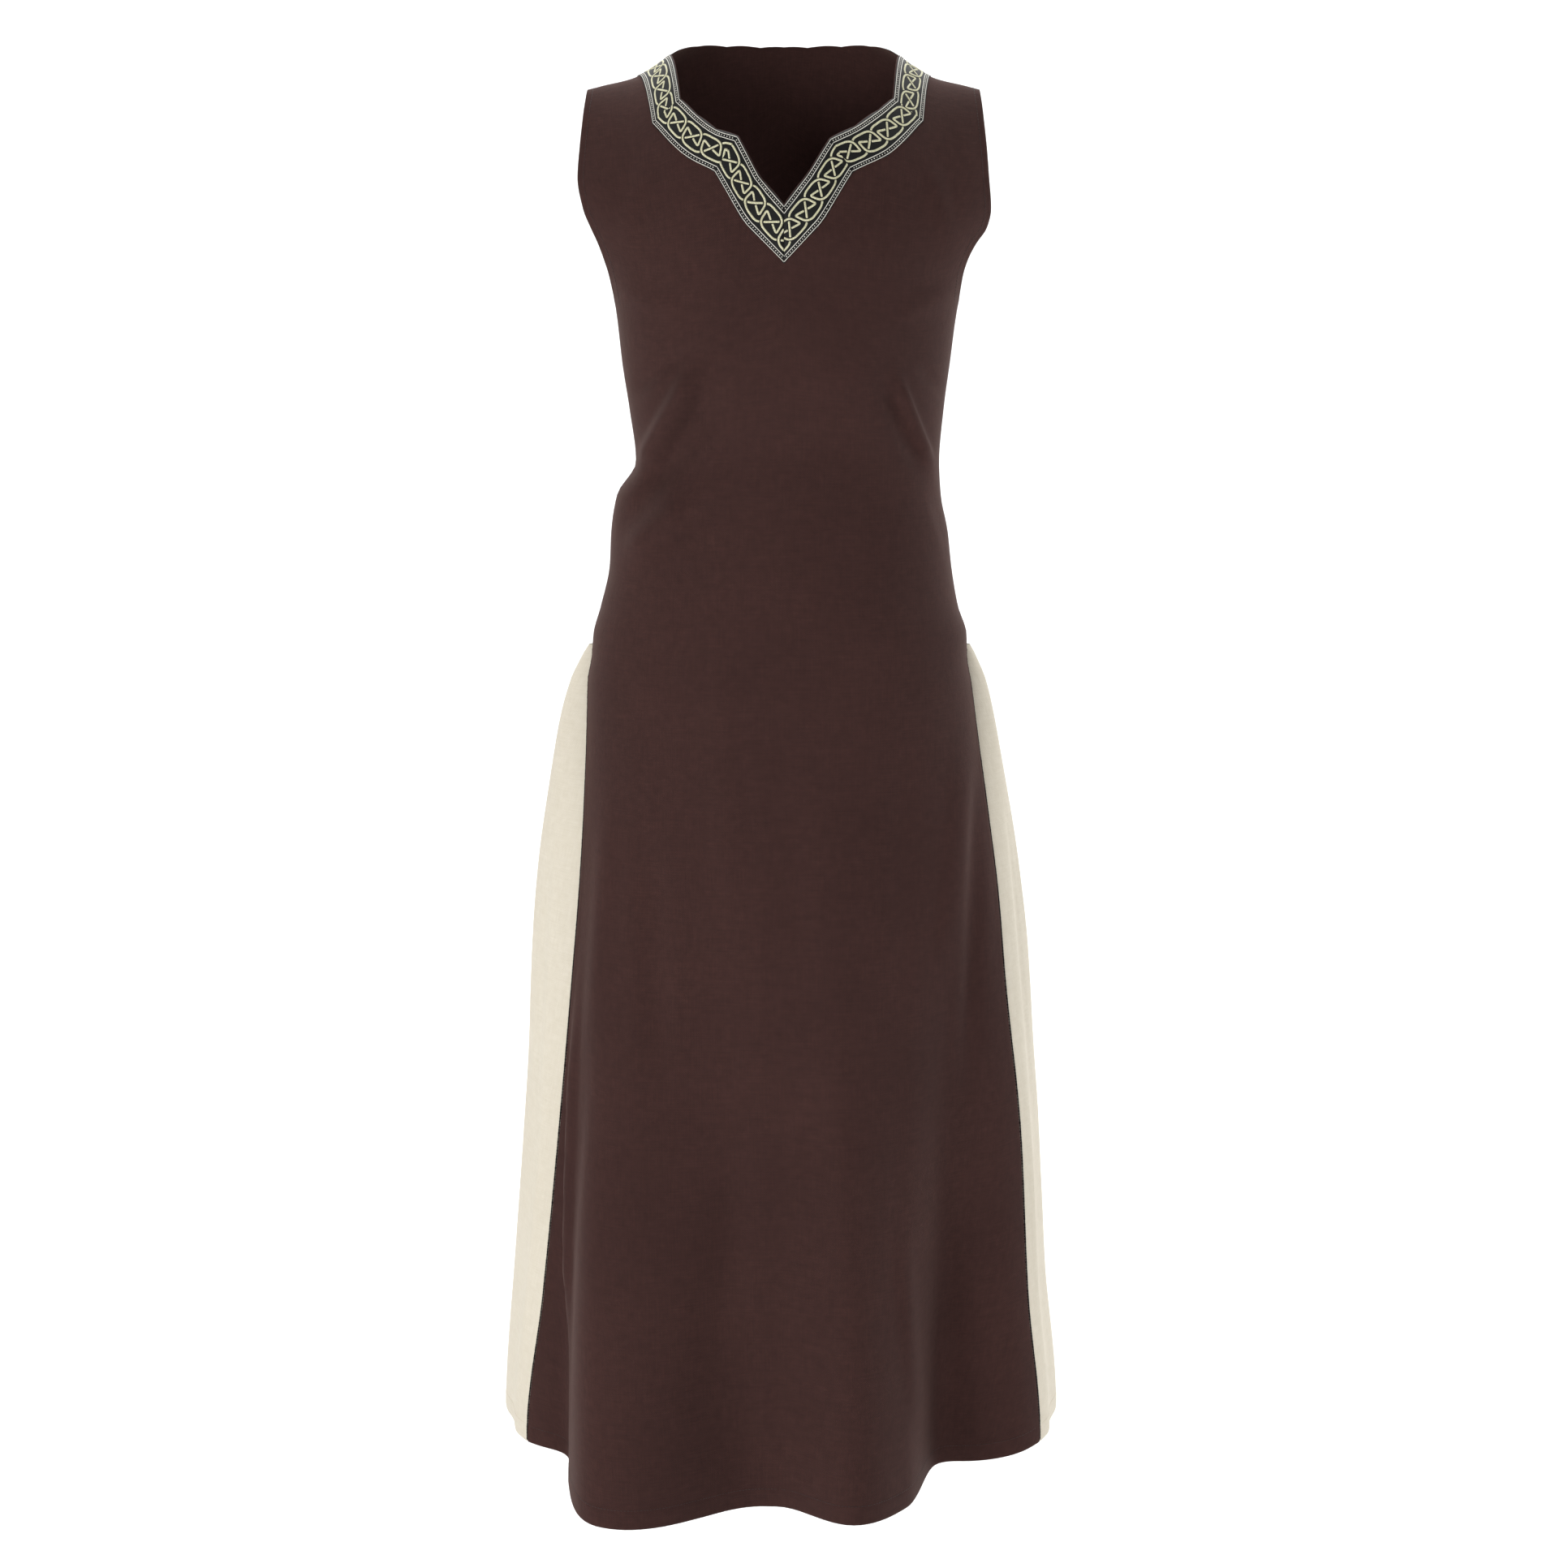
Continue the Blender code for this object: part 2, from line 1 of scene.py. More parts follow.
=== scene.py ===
"""Sleeveless medieval over-gown: brown cotton front and back, cream side gores, knotwork ribbon at the neck.

The gown hangs as it is worn: front to -Y, the wearer's left to +X, +Z up, the origin midway between the
shoulder seams. A place on the cloth is named by x and by a laid height, which equals z on the body and
runs on over the top of the shoulder. All lengths are in metres.
"""
import math
import bmesh
import bpy
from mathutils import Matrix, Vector, noise


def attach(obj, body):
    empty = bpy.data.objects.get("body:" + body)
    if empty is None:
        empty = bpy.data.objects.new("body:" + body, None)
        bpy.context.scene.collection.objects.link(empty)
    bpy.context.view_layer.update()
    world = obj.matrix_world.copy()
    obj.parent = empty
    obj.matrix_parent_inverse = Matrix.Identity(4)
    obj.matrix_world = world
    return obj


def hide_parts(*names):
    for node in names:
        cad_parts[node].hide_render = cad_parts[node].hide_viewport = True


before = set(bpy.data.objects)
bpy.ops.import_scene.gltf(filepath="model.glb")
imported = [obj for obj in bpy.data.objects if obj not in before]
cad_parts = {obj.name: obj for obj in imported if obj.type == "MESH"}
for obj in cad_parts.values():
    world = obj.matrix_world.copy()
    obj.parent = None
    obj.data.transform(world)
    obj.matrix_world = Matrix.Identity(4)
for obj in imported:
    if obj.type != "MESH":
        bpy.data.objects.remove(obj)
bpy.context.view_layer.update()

bl_info = {
    "name": "Medieval Gown",
    "version": (1, 0, 0),
    "blender": (4, 5, 0),
    "location": "View3D > Sidebar > Gown",
    "description": "Makes the cloth, knotwork ribbon and stitching of a sleeveless over-gown",
    "category": "Object",
}

MM = 0.001
ROLL = 0.24            # height over which the front and back bend over the shoulder
UNDERARM = -0.200
WAIST = -0.350
HEM = -1.370
GORE_TOP = -0.534
FULLNESS = 2.2         # how square the level sections are; 2 is an ellipse
GORE_BEND = 0.35
BACK_ROUND = 0.6       # the back is flatter on top of the shoulder than the front
BARE = 0.012           # share of the neck band left bare beside the neck edge

# Level sections. fl, fr: the front's half widths at its seams, photo-left and photo-right. fs: y of that
# seam. fc: y of the front's centre. bl, br, bs, bc: the same for the back. turn: degrees round to the seam.
RING_NAMES = ("z", "fl", "fr", "fs", "fc", "bl", "br", "bs", "bc", "turn")
RING = (
    (0.100, 0.222, 0.222, 0.000, -0.128, 0.222, 0.222, 0.000, 0.108, 90),
    (-0.080, 0.219, 0.220, 0.000, -0.130, 0.219, 0.220, 0.000, 0.115, 90),
    (-0.110, 0.209, 0.213, 0.000, -0.131, 0.209, 0.213, 0.000, 0.117, 90),
    (-0.145, 0.189, 0.194, 0.000, -0.132, 0.189, 0.194, 0.000, 0.117, 90),
    (-0.175, 0.172, 0.176, 0.000, -0.132, 0.172, 0.176, 0.000, 0.115, 90),
    (-0.200, 0.163, 0.168, 0.000, -0.132, 0.163, 0.168, 0.000, 0.112, 90),
    (-0.260, 0.156, 0.160, 0.002, -0.127, 0.156, 0.160, 0.002, 0.102, 90),
    (-0.300, 0.150, 0.155, 0.004, -0.119, 0.150, 0.155, 0.004, 0.094, 90),
    (-0.352, 0.144, 0.151, 0.005, -0.110, 0.144, 0.151, 0.005, 0.088, 90),
    (-0.385, 0.163, 0.153, 0.007, -0.110, 0.163, 0.153, 0.007, 0.093, 90),
    (-0.420, 0.169, 0.160, 0.009, -0.112, 0.169, 0.160, 0.009, 0.101, 90),
    (-0.455, 0.171, 0.164, 0.011, -0.114, 0.171, 0.164, 0.011, 0.110, 90),
    (-0.495, 0.180, 0.171, 0.013, -0.117, 0.180, 0.171, 0.013, 0.118, 90),
    (-0.525, 0.188, 0.180, 0.014, -0.119, 0.188, 0.180, 0.014, 0.123, 90),
    (-0.545, 0.189, 0.180, 0.006, -0.120, 0.189, 0.180, 0.023, 0.126, 89),
    (-0.570, 0.193, 0.184, -0.001, -0.122, 0.193, 0.184, 0.032, 0.131, 86),
    (-0.618, 0.194, 0.190, -0.011, -0.124, 0.196, 0.192, 0.048, 0.139, 82),
    (-0.700, 0.197, 0.201, -0.027, -0.127, 0.204, 0.202, 0.071, 0.156, 76),
    (-0.780, 0.202, 0.211, -0.036, -0.130, 0.211, 0.210, 0.090, 0.170, 71),
    (-0.865, 0.209, 0.218, -0.046, -0.132, 0.216, 0.216, 0.109, 0.185, 67),
    (-1.030, 0.224, 0.235, -0.052, -0.135, 0.222, 0.223, 0.147, 0.215, 63),
    (-1.200, 0.241, 0.244, -0.052, -0.137, 0.222, 0.223, 0.182, 0.243, 61),
    (-1.370, 0.260, 0.259, -0.042, -0.137, 0.218, 0.219, 0.212, 0.268, 60),
)

# The gores' outermost line: half widths photo-left and photo-right, and its y.
GORE_NAMES = ("z", "left", "right", "y")
GORE = (
    (-0.525, 0.1890, 0.1810, 0.014),
    (-0.545, 0.1990, 0.1895, 0.015),
    (-0.570, 0.2110, 0.2000, 0.016),
    (-0.618, 0.2240, 0.2110, 0.017),
    (-0.700, 0.2360, 0.2245, 0.022),
    (-0.780, 0.2455, 0.2350, 0.027),
    (-0.865, 0.2530, 0.2450, 0.032),
    (-1.030, 0.2640, 0.2590, 0.042),
    (-1.200, 0.2780, 0.2690, 0.052),
    (-1.370, 0.2900, 0.2840, 0.072),
)

SHOULDER_NAMES = ("x", "z")
SHOULDER = (
    (0.000, 0.080), (0.035, 0.074), (0.070, 0.060), (0.100, 0.042),
    (0.122, 0.025), (0.145, 0.013), (0.170, 0.007), (0.200, 0.001),
)

# Armhole edge below the shoulder: half widths photo-left and photo-right.
ARM_NAMES = ("z", "left", "right")
ARMHOLE = (
    (0.010, 0.1880, 0.1870),
    (-0.022, 0.1908, 0.1893),
    (-0.052, 0.1934, 0.1919),
    (-0.082, 0.1953, 0.1940),
    (-0.112, 0.1900, 0.1964),
    (-0.128, 0.1834, 0.1930),
    (-0.143, 0.1765, 0.1827),
    (-0.158, 0.1712, 0.1750),
    (-0.174, 0.1668, 0.1705),
    (-0.200, 0.1630, 0.1680),
)

# Front neck, shoulder to V: neck edge x and z and the ribbon's outer edge x and z on each side, and how far
# down the armhole or side seam the row ends. The ribbon is mitred at rows 1, 4 and 7.
NECK_NAMES = ("lx", "lz", "lox", "loz", "rx", "rz", "rox", "roz", "arm")
FRONT_NECK = (
    (0.1105, 0.0370, 0.1405, 0.0180, 0.1105, 0.0370, 0.1405, 0.0180, 0.000),
    (0.0965, -0.0106, 0.1233, -0.0336, 0.1019, -0.0097, 0.1308, -0.0309, 0.195),
    (0.0809, -0.0257, 0.1060, -0.0524, 0.0880, -0.0212, 0.1130, -0.0499, 0.225),
    (0.0625, -0.0397, 0.0890, -0.0670, 0.0656, -0.0370, 0.0959, -0.0647, 0.256),
    (0.0421, -0.0463, 0.0647, -0.0794, 0.0421, -0.0485, 0.0637, -0.0799, 0.287),
    (0.0262, -0.0765, 0.0405, -0.1210, 0.0245, -0.0766, 0.0390, -0.1205, 0.336),
    (0.0201, -0.0861, 0.0303, -0.1332, 0.0180, -0.0856, 0.0291, -0.1327, 0.346),
    (0.0000, -0.1090, 0.0000, -0.1634, 0.0000, -0.1090, 0.0000, -0.1634, 0.396),
)

# Back neck, shoulder to centre: neck edge x and its laid drop from the shoulder line, the ribbon's outer
# edge the same way, and how far down the armhole the row ends.
BACK_NAMES = ("x", "drop", "ox", "odrop", "arm")
BACK_NECK = (
    (0.1105, 0.000, 0.1405, 0.000, 0.000),
    (0.1005, 0.016, 0.1340, 0.040, 0.130),
    (0.0830, 0.056, 0.1120, 0.094, 0.210),
    (0.0560, 0.096, 0.0760, 0.148, 0.290),
    (0.0230, 0.120, 0.0310, 0.177, 0.336),
    (0.0000, 0.125, 0.0000, 0.184, 0.346),
)

# Hanging folds. x: centre line at the hem. lean: how far it moves outward at the hem from its top. wl, wr:
# half widths towards photo-left and photo-right. depth: outward at the hem. top: it starts here.
FOLD_NAMES = ("x", "lean", "wl", "wr", "depth", "top", "power")
FRONT_FOLDS = (
    (-0.151, 0.010, 0.076, 0.130, 0.086, -0.60, 1.5),
    (0.064, 0.010, 0.072, 0.086, 0.051, -0.66, 1.6),
    (0.176, 0.012, 0.060, 0.085, -0.066, -0.70, 1.6),
    (-0.236, -0.014, 0.036, 0.034, -0.024, -0.80, 1.5),
)
BACK_FOLDS = (
    (-0.120, -0.015, 0.060, 0.060, 0.038, -0.62, 1.5),
    (0.010, 0.004, 0.065, 0.065, 0.042, -0.66, 1.5),
    (0.130, 0.015, 0.058, 0.058, 0.036, -0.60, 1.5),
    (-0.055, -0.006, 0.045, 0.045, -0.022, -0.72, 1.5),
    (0.075, 0.008, 0.045, 0.045, -0.024, -0.72, 1.5),
)
GORE_FOLD_NAMES = ("at", "w", "depth")
GORE_FOLDS = (
    (0.26, 0.16, -0.005),
    (0.66, 0.20, -0.022),
    (0.86, 0.13, 0.012),
)

# Creases, each a soft ridge, or a trough where h is below nought, along a bent line through three points:
# half width across and height. The front's follow the photograph; the back's are like them, uneven.
CREASE_NAMES = ("x0", "z0", "x1", "z1", "x2", "z2", "w", "h")
FRONT_CREASES = (
    # photo-left waist: the pulled ridge up to the bust, the trough under it, the short one at the seam
    (-0.150, -0.378, -0.110, -0.312, -0.074, -0.246, 0.0180, 0.0145),
    (-0.152, -0.404, -0.098, -0.338, -0.044, -0.266, 0.0210, -0.0065),
    (-0.156, -0.296, -0.122, -0.264, -0.080, -0.240, 0.0130, -0.0045),
    # photo-left hip: a second, lower ridge
    (-0.162, -0.448, -0.122, -0.412, -0.082, -0.380, 0.0190, 0.0080),
    (-0.176, -0.420, -0.140, -0.392, -0.110, -0.352, 0.0160, -0.0035),
    (-0.140, -0.446, -0.104, -0.416, -0.070, -0.392, 0.0160, -0.0025),
    # photo-right waist: a sharper ridge, with its trough on the inner side
    (0.152, -0.372, 0.124, -0.312, 0.103, -0.255, 0.0085, 0.0075),
    (0.140, -0.378, 0.111, -0.316, 0.088, -0.258, 0.0120, -0.0035),
    (0.158, -0.292, 0.144, -0.274, 0.122, -0.258, 0.0100, -0.0030),
    (0.166, -0.452, 0.154, -0.410, 0.140, -0.372, 0.0120, -0.0030),
    # skirt: long troughs and ridges
    (0.176, -0.600, 0.168, -0.730, 0.157, -0.870, 0.0200, 0.0035),
    (0.200, -0.600, 0.188, -0.770, 0.190, -1.030, 0.0160, -0.0050),
    (-0.130, -0.660, -0.121, -0.830, -0.112, -0.980, 0.0220, -0.0045),
    (-0.172, -0.640, -0.172, -0.800, -0.176, -0.930, 0.0180, 0.0030),
    (-0.200, -0.800, -0.207, -1.060, -0.214, -1.270, 0.0110, 0.0105),
    (-0.182, -0.900, -0.190, -1.100, -0.200, -1.330, 0.0160, -0.0025),
    (0.000, -0.540, 0.004, -0.700, 0.012, -0.900, 0.0300, -0.0018),
    (0.085, -0.560, 0.092, -0.740, 0.100, -0.920, 0.0240, 0.0016),
    (-0.060, -0.480, -0.058, -0.640, -0.050, -0.820, 0.0280, 0.0020),
    (0.040, -0.900, 0.030, -1.090, 0.040, -1.300, 0.0260, -0.0022),
    (-0.040, -0.960, -0.060, -1.130, -0.080, -1.340, 0.0300, -0.0030),
    (0.112, -1.060, 0.124, -1.200, 0.150, -1.365, 0.0160, 0.0040),
    # chest: slight drag from the neck and the underarm
    (-0.170, -0.175, -0.130, -0.196, -0.085, -0.206, 0.0150, 0.0022),
    (0.172, -0.180, 0.134, -0.200, 0.096, -0.208, 0.0150, 0.0024),
    (-0.128, -0.060, -0.140, -0.105, -0.158, -0.150, 0.0140, 0.0016),
    (0.134, -0.056, 0.146, -0.104, 0.163, -0.152, 0.0140, 0.0018),
    # the pucker beside the gore's seam
    (-0.226, -0.972, -0.223, -0.956, -0.220, -0.940, 0.0035, -0.0016),
)
BACK_CREASES = (
    (-0.146, -0.372, -0.100, -0.345, -0.046, -0.330, 0.0140, 0.0070),
    (-0.150, -0.398, -0.104, -0.370, -0.050, -0.352, 0.0160, -0.0040),
    (-0.146, -0.430, -0.098, -0.404, -0.044, -0.388, 0.0150, 0.0052),
    (0.150, -0.374, 0.108, -0.342, 0.058, -0.322, 0.0130, 0.0066),
    (0.154, -0.400, 0.110, -0.372, 0.064, -0.350, 0.0160, -0.0040),
    (0.150, -0.426, 0.104, -0.406, 0.060, -0.396, 0.0150, 0.0046),
    (-0.050, -0.300, 0.000, -0.312, 0.052, -0.298, 0.0180, 0.0028),
    (-0.150, -0.250, -0.112, -0.222, -0.070, -0.206, 0.0140, 0.0030),
    (0.156, -0.256, 0.116, -0.230, 0.080, -0.218, 0.0140, 0.0034),
    (-0.190, -0.600, -0.180, -0.800, -0.170, -1.040, 0.0180, -0.0040),
    (0.186, -0.620, 0.182, -0.820, 0.190, -1.060, 0.0180, -0.0045),
    (-0.030, -0.480, -0.040, -0.640, -0.050, -0.860, 0.0260, -0.0030),
    (0.060, -0.500, 0.062, -0.680, 0.074, -0.900, 0.0260, 0.0028),
    (-0.090, -0.560, -0.096, -0.760, -0.100, -0.980, 0.0260, 0.0026),
)
# Creases of a gore: share of its width and z at both ends, half width as a share, height.
GORE_CREASE_NAMES = ("a0", "z0", "a1", "z1", "w", "h")
GORE_CREASES = (
    (0.50, -0.600, 0.40, -1.000, 0.10, 0.0030),
    (0.30, -0.640, 0.22, -1.100, 0.08, -0.0026),
    (0.72, -0.700, 0.80, -1.250, 0.10, 0.0034),
    (0.10, -0.900, 0.14, -1.340, 0.06, 0.0022),
)

HEM_NAMES = ("x", "front", "back")
HEM_LIFT = (
    (0.00, 0.000, 0.004),
    (0.10, 0.000, 0.004),
    (0.20, 0.010, 0.010),
    (0.26, 0.031, 0.020),
    (0.28, 0.035, 0.024),
    (0.30, 0.038, 0.026),
)

# One turn of the knot's strand in repeats along the ribbon and out from its centre line: from the middle
# of one cell, round its hook, and through the next cell as a bar. The other strand is one repeat on.
KNOT_NAMES = ("along", "out")
KNOT = (
    (0.00, 0.00), (0.20, 0.08), (0.39, 0.15), (0.44, 0.14), (0.43, 0.06), (0.33, -0.24), (0.12, -0.38),
    (-0.22, -0.41), (-0.50, -0.40), (-0.66, -0.33), (-0.80, -0.21),
    (-1.00, 0.00), (-1.20, 0.21), (-1.34, 0.33), (-1.50, 0.40), (-1.78, 0.41),
    (-2.12, 0.38), (-2.33, 0.24), (-2.43, -0.06), (-2.44, -0.14), (-2.39, -0.15), (-2.20, -0.08),
)
LEFT_CELL, RIGHT_CELL = 0.0160, 0.0300   # from the V to the nearest cell's middle on each side
ARC_CROSSING = (0.27, -0.30)   # where a bar passes under its own cell's hook, and again mirrored


# ---- the gown's form ----

def column(table, names, name, at):
    """A named column of a table, read smoothly at a value of its first column."""
    k = names.index(name)
    rows = sorted(table)
    at = min(max(at, rows[0][0]), rows[-1][0])
    i = 0
    while i < len(rows) - 2 and at > rows[i + 1][0]:
        i += 1

    def slope(j):
        if j == 0 or j == len(rows) - 1:
            return 0.0
        before = (rows[j][k] - rows[j - 1][k]) / (rows[j][0] - rows[j - 1][0])
        after = (rows[j + 1][k] - rows[j][k]) / (rows[j + 1][0] - rows[j][0])
        if before * after <= 0:
            return 0.0
        return 2 * before * after / (before + after)

    a, b = rows[i], rows[i + 1]
    step = b[0] - a[0]
    t = (at - a[0]) / step
    h = t * t * (3 - 2 * t)
    return (a[k] * (1 - h) + b[k] * h + step * slope(i) * t * (1 - t) ** 2
            - step * slope(i + 1) * t * t * (1 - t))


def mix(a, b, t):
    return a + (b - a) * t


class Lookup:
    """A table's columns read at every 0.5 mm beforehand, because the cloth asks for them very often."""

    def __init__(self, table, names):
        self.low = min(row[0] for row in table)
        high = max(row[0] for row in table)
        self.count = int(round((high - self.low) / (0.5 * MM)))
        self.columns = {
            name: [column(table, names, name, self.low + i * 0.5 * MM) for i in range(self.count + 1)]
            for name in names[1:]
        }

    def read(self, name, at):
        place = min(max((at - self.low) / (0.5 * MM), 0.0), self.count - 0.001)
        i = int(place)
        values = self.columns[name]
        return values[i] + (values[i + 1] - values[i]) * (place - i)


RINGS = Lookup(RING, RING_NAMES)
SHOULDERS = Lookup(SHOULDER, SHOULDER_NAMES)
ARMHOLES = Lookup(ARMHOLE, ARM_NAMES)
GORES = Lookup(GORE, GORE_NAMES)
HEM_LIFTS = Lookup(HEM_LIFT, HEM_NAMES)


def ring(name, z):
    return RINGS.read(name, z)


def shoulder(x):
    return SHOULDERS.read("z", abs(x))


def bump(u):
    """A soft rise: 1 at 0, falling to 0 at -1 and 1."""
    return math.cos(math.pi * u / 2) ** 2 if abs(u) < 1 else 0.0


def step_up(low, high, at):
    """0 below low, 1 above high and a soft rise between."""
    t = min(max((at - low) / (high - low), 0.0), 1.0)
    return t * t * (3 - 2 * t)


def half_width(side, x, z):
    if side == "front":
        return ring("fl" if x < 0 else "fr", z)
    return ring("bl" if x < 0 else "br", z)


def crease_lines(table):
    """Each crease as a run of points along its bent line, with its reach for a quick test."""
    out = []
    for x0, z0, x1, z1, x2, z2, w, h in table:
        cx, cz = 2 * x1 - (x0 + x2) / 2, 2 * z1 - (z0 + z2) / 2
        line = []
        for i in range(13):
            t = i / 12
            line.append(((1 - t) ** 2 * x0 + 2 * t * (1 - t) * cx + t * t * x2,
                         (1 - t) ** 2 * z0 + 2 * t * (1 - t) * cz + t * t * z2))
        xs, zs = [p[0] for p in line], [p[1] for p in line]
        out.append((line, w, h, min(xs) - w, max(xs) + w, min(zs) - w, max(zs) + w))
    return out


CREASES = {"front": crease_lines(FRONT_CREASES), "back": crease_lines(BACK_CREASES)}


def creases(side, x, z):
    """Height of the creases at a place."""
    total = 0.0
    for line, w, h, left, right, low, high in CREASES[side]:
        if x < left or x > right or z < low or z > high:
            continue
        best, where = 9.0, 0.0
        for i in range(12):
            (ax, az), (bx, bz) = line[i], line[i + 1]
            run, rise = bx - ax, bz - az
            t = min(max(((x - ax) * run + (z - az) * rise) / (run * run + rise * rise), 0.0), 1.0)
            away = math.hypot(x - ax - run * t, z - az - rise * t)
            if away < best:
                best, where = away, (i + t) / 12
        if best < w:
            total += h * bump(best / w) * min(1.0, 1.6 * bump(2 * where - 1))
    return total


def uneven(x, z, seed):
    """Slight waviness of hanging cloth, longer down than across."""
    wide = noise.noise(Vector((x * 16, z * 6, seed)))
    small = noise.noise(Vector((x * 48, z * 20, seed + 7)))
    return 1.3 * MM * wide + 0.35 * MM * small


def relief(side, x, z, width):
    """Height of the folds above the plain form, along its outward normal."""
    total = 0.0
    for fx, lean, wl, wr, depth, top, power in FRONT_FOLDS if side == "front" else BACK_FOLDS:
        if z >= top:
            continue
        fall = (top - z) / (top - HEM)
        centre = fx - lean * (1 - fall)
        spread = 0.75 + 0.25 * fall
        u = (x - centre) / (spread * (wl if x < centre else wr))
        total += depth * fall ** power * bump(u)
    total += creases(side, x, z) + uneven(x, z, 3.0 if side == "front" else 11.0)
    return total * (1 - min(1.0, abs(x) / width) ** 16)


def lay(side, x, laid, extra=0.0):
    """The point of the front or back named by x and its laid height, moved out by extra."""
    top = shoulder(x)
    over = laid - (top - ROLL)
    if over <= 0:
        z, tip = laid, 0.0
    else:
        tip = min(over / ROLL, math.pi / 2)
        z = top - ROLL + ROLL * math.sin(tip)
    width = max(half_width(side, x, z), abs(x))
    edge, middle = (ring("fs", z), ring("fc", z)) if side == "front" else (ring("bs", z), ring("bc", z))
    turn = math.sin(math.radians(ring("turn", z)))
    reach = min(1.0, (abs(x) / width) ** (FULLNESS / 2) * turn)
    level = math.cos(math.asin(reach)) ** (2 / FULLNESS)
    low = math.cos(math.asin(turn)) ** (2 / FULLNESS) if turn < 0.9999 else 0.0
    depth = (middle - edge) * (level - low) / (1 - low)
    bend = math.cos(tip) if side == "front" else max(math.cos(tip), 0.0) ** BACK_ROUND
    y = edge * (1.0 if over <= 0 else bend) + depth * bend
    out = Vector((x / width ** 2, (y - edge) / max(middle ** 2, 1e-6), 0)).normalized()
    # Ridges stand nearly straight out; hollows go rather straight back, so that no fold hangs over.
    height = relief(side, x, z, width) * math.cos(tip)
    way = Vector((out.x * (0.6 if height > 0 else 0.4), out.y, 0)).normalized()
    point = Vector((x, y, z)) + way * height + out * extra
    if z < WAIST:
        point.z += HEM_LIFTS.read(side, abs(x)) * (WAIST - z) / (WAIST - HEM)
    return point


def laid_height(x, z):
    """Laid height of the front's point at x and z."""
    base = shoulder(x) - ROLL
    if z <= base:
        return z
    return base + ROLL * math.asin(min(1.0, (z - base) / ROLL))


def laid_drop(x, drop):
    return shoulder(x) - ROLL + ROLL * math.pi / 2 - drop


def side_name(sign):
    return "left" if sign < 0 else "right"


def outer_end(side, sign, drop):
    """Where a row ends on the armhole or side seam, this far down from the shoulder line."""
    z = -drop
    for settle in range(4):
        x = ARMHOLES.read(side_name(sign), z)
        base = shoulder(x) - ROLL
        laid = laid_drop(x, drop)
        z = base + ROLL * math.sin((laid - base) / ROLL) if laid > base else laid
    if z > UNDERARM:
        return sign * x, laid
    z = min(z, UNDERARM)
    return sign * half_width(side, sign, z), z


def neck_points(side, sign):
    """The neck's named rows: neck edge and ribbon edge as flat places, and the row's outer end."""
    rows = []
    for number, row in enumerate(FRONT_NECK if side == "front" else BACK_NECK):
        if side == "front":
            shift = 0 if sign < 0 else 4
            nx, nz, ox, oz = row[shift:shift + 4]
            edge = (sign * nx, laid_drop(nx, 0) if number == 0 else laid_height(nx, nz))
            rim = (sign * ox, laid_drop(ox, 0) if number == 0 else laid_height(ox, oz))
        else:
            nx, drop, ox, odrop = row[:4]
            edge = (sign * nx, laid_drop(nx, drop))
            rim = (sign * ox, laid_drop(ox, odrop))
        rows.append((edge, rim, row[-1]))
    return rows


def between(a, b, t):
    """A point on the straight cut line between two laid points."""
    x = mix(a[0], b[0], t)
    drop = mix(laid_drop(a[0], 0) - a[1], laid_drop(b[0], 0) - b[1], t)
    return (x, laid_drop(x, drop))


def neck_stations(side, sign):
    """Fine rows of the neck: neck edge, ribbon edge, outer end and how level each row runs."""
    rows = neck_points(side, sign)
    out = []
    for number, (a, b) in enumerate(zip(rows, rows[1:])):
        count = max(2, round(math.dist(a[0], b[0]) / (6 * MM)), round(math.dist(a[1], b[1]) / (6 * MM)))
        for step in range(count):
            t = step / count
            out.append((between(a[0], b[0], t), between(a[1], b[1], t), mix(a[2], b[2], t),
                        (number + t) / (len(rows) - 1)))
    last = rows[-1]
    return out + [(last[0], last[1], last[2], 1.0)]


def across(side, start, end, level, share):
    """A point part of the way along a row."""
    width = max(half_width(side, end[0], min(end[1], 0.0)), abs(end[0]))
    turn = math.radians(ring("turn", min(end[1], 0.0)))
    swing = math.asin(min(1.0, math.sin(turn) * (abs(end[0]) / width) ** (FULLNESS / 2)))
    bow = math.sin(share * swing) ** (2 / FULLNESS) / math.sin(swing) ** (2 / FULLNESS) if share > 0 else 0.0
    bow = mix(share, bow, min(1.0, level * 1.2))
    x = mix(start[0], end[0], bow)
    drop = mix(laid_drop(start[0], 0) - start[1], laid_drop(end[0], 0) - end[1], bow)
    flat = mix(start[1], end[1], bow)
    return (x, mix(laid_drop(x, drop), flat, level))


def hem_rows(top, step):
    """Heights from a top down to the hem, closer together where the hem is turned and stitched."""
    last = HEM + 26 * MM
    count = round((top - last) / step)
    rows = [mix(top, last, i / count) for i in range(count)]
    return rows + [HEM + d * MM for d in (26, 22, 20, 18, 16, 13, 9, 5, 2, 0)]


def half_rows(side, sign):
    """Rows of one half of the front or back, each from its inner to its outer end."""
    stations = neck_stations(side, sign)
    rows = [(rim, outer_end(side, sign, arm), level) for edge, rim, arm, level in stations]
    inner, outer = rows[-1][0], rows[-1][1]
    count = round((inner[1] - WAIST) / (7 * MM))
    for i in range(1, count + 1):
        z = mix(outer[1], WAIST, i / count)
        rows.append(((0.0, mix(inner[1], WAIST, i / count)), (sign * half_width(side, sign, z), z), 1.0))
    upper = [mix(WAIST, GORE_TOP, i / 26) for i in range(1, 26)]
    for z in upper + hem_rows(GORE_TOP, 8.5 * MM):
        rows.append(((0.0, z), (sign * half_width(side, sign, z), z), 1.0))
    return stations, rows


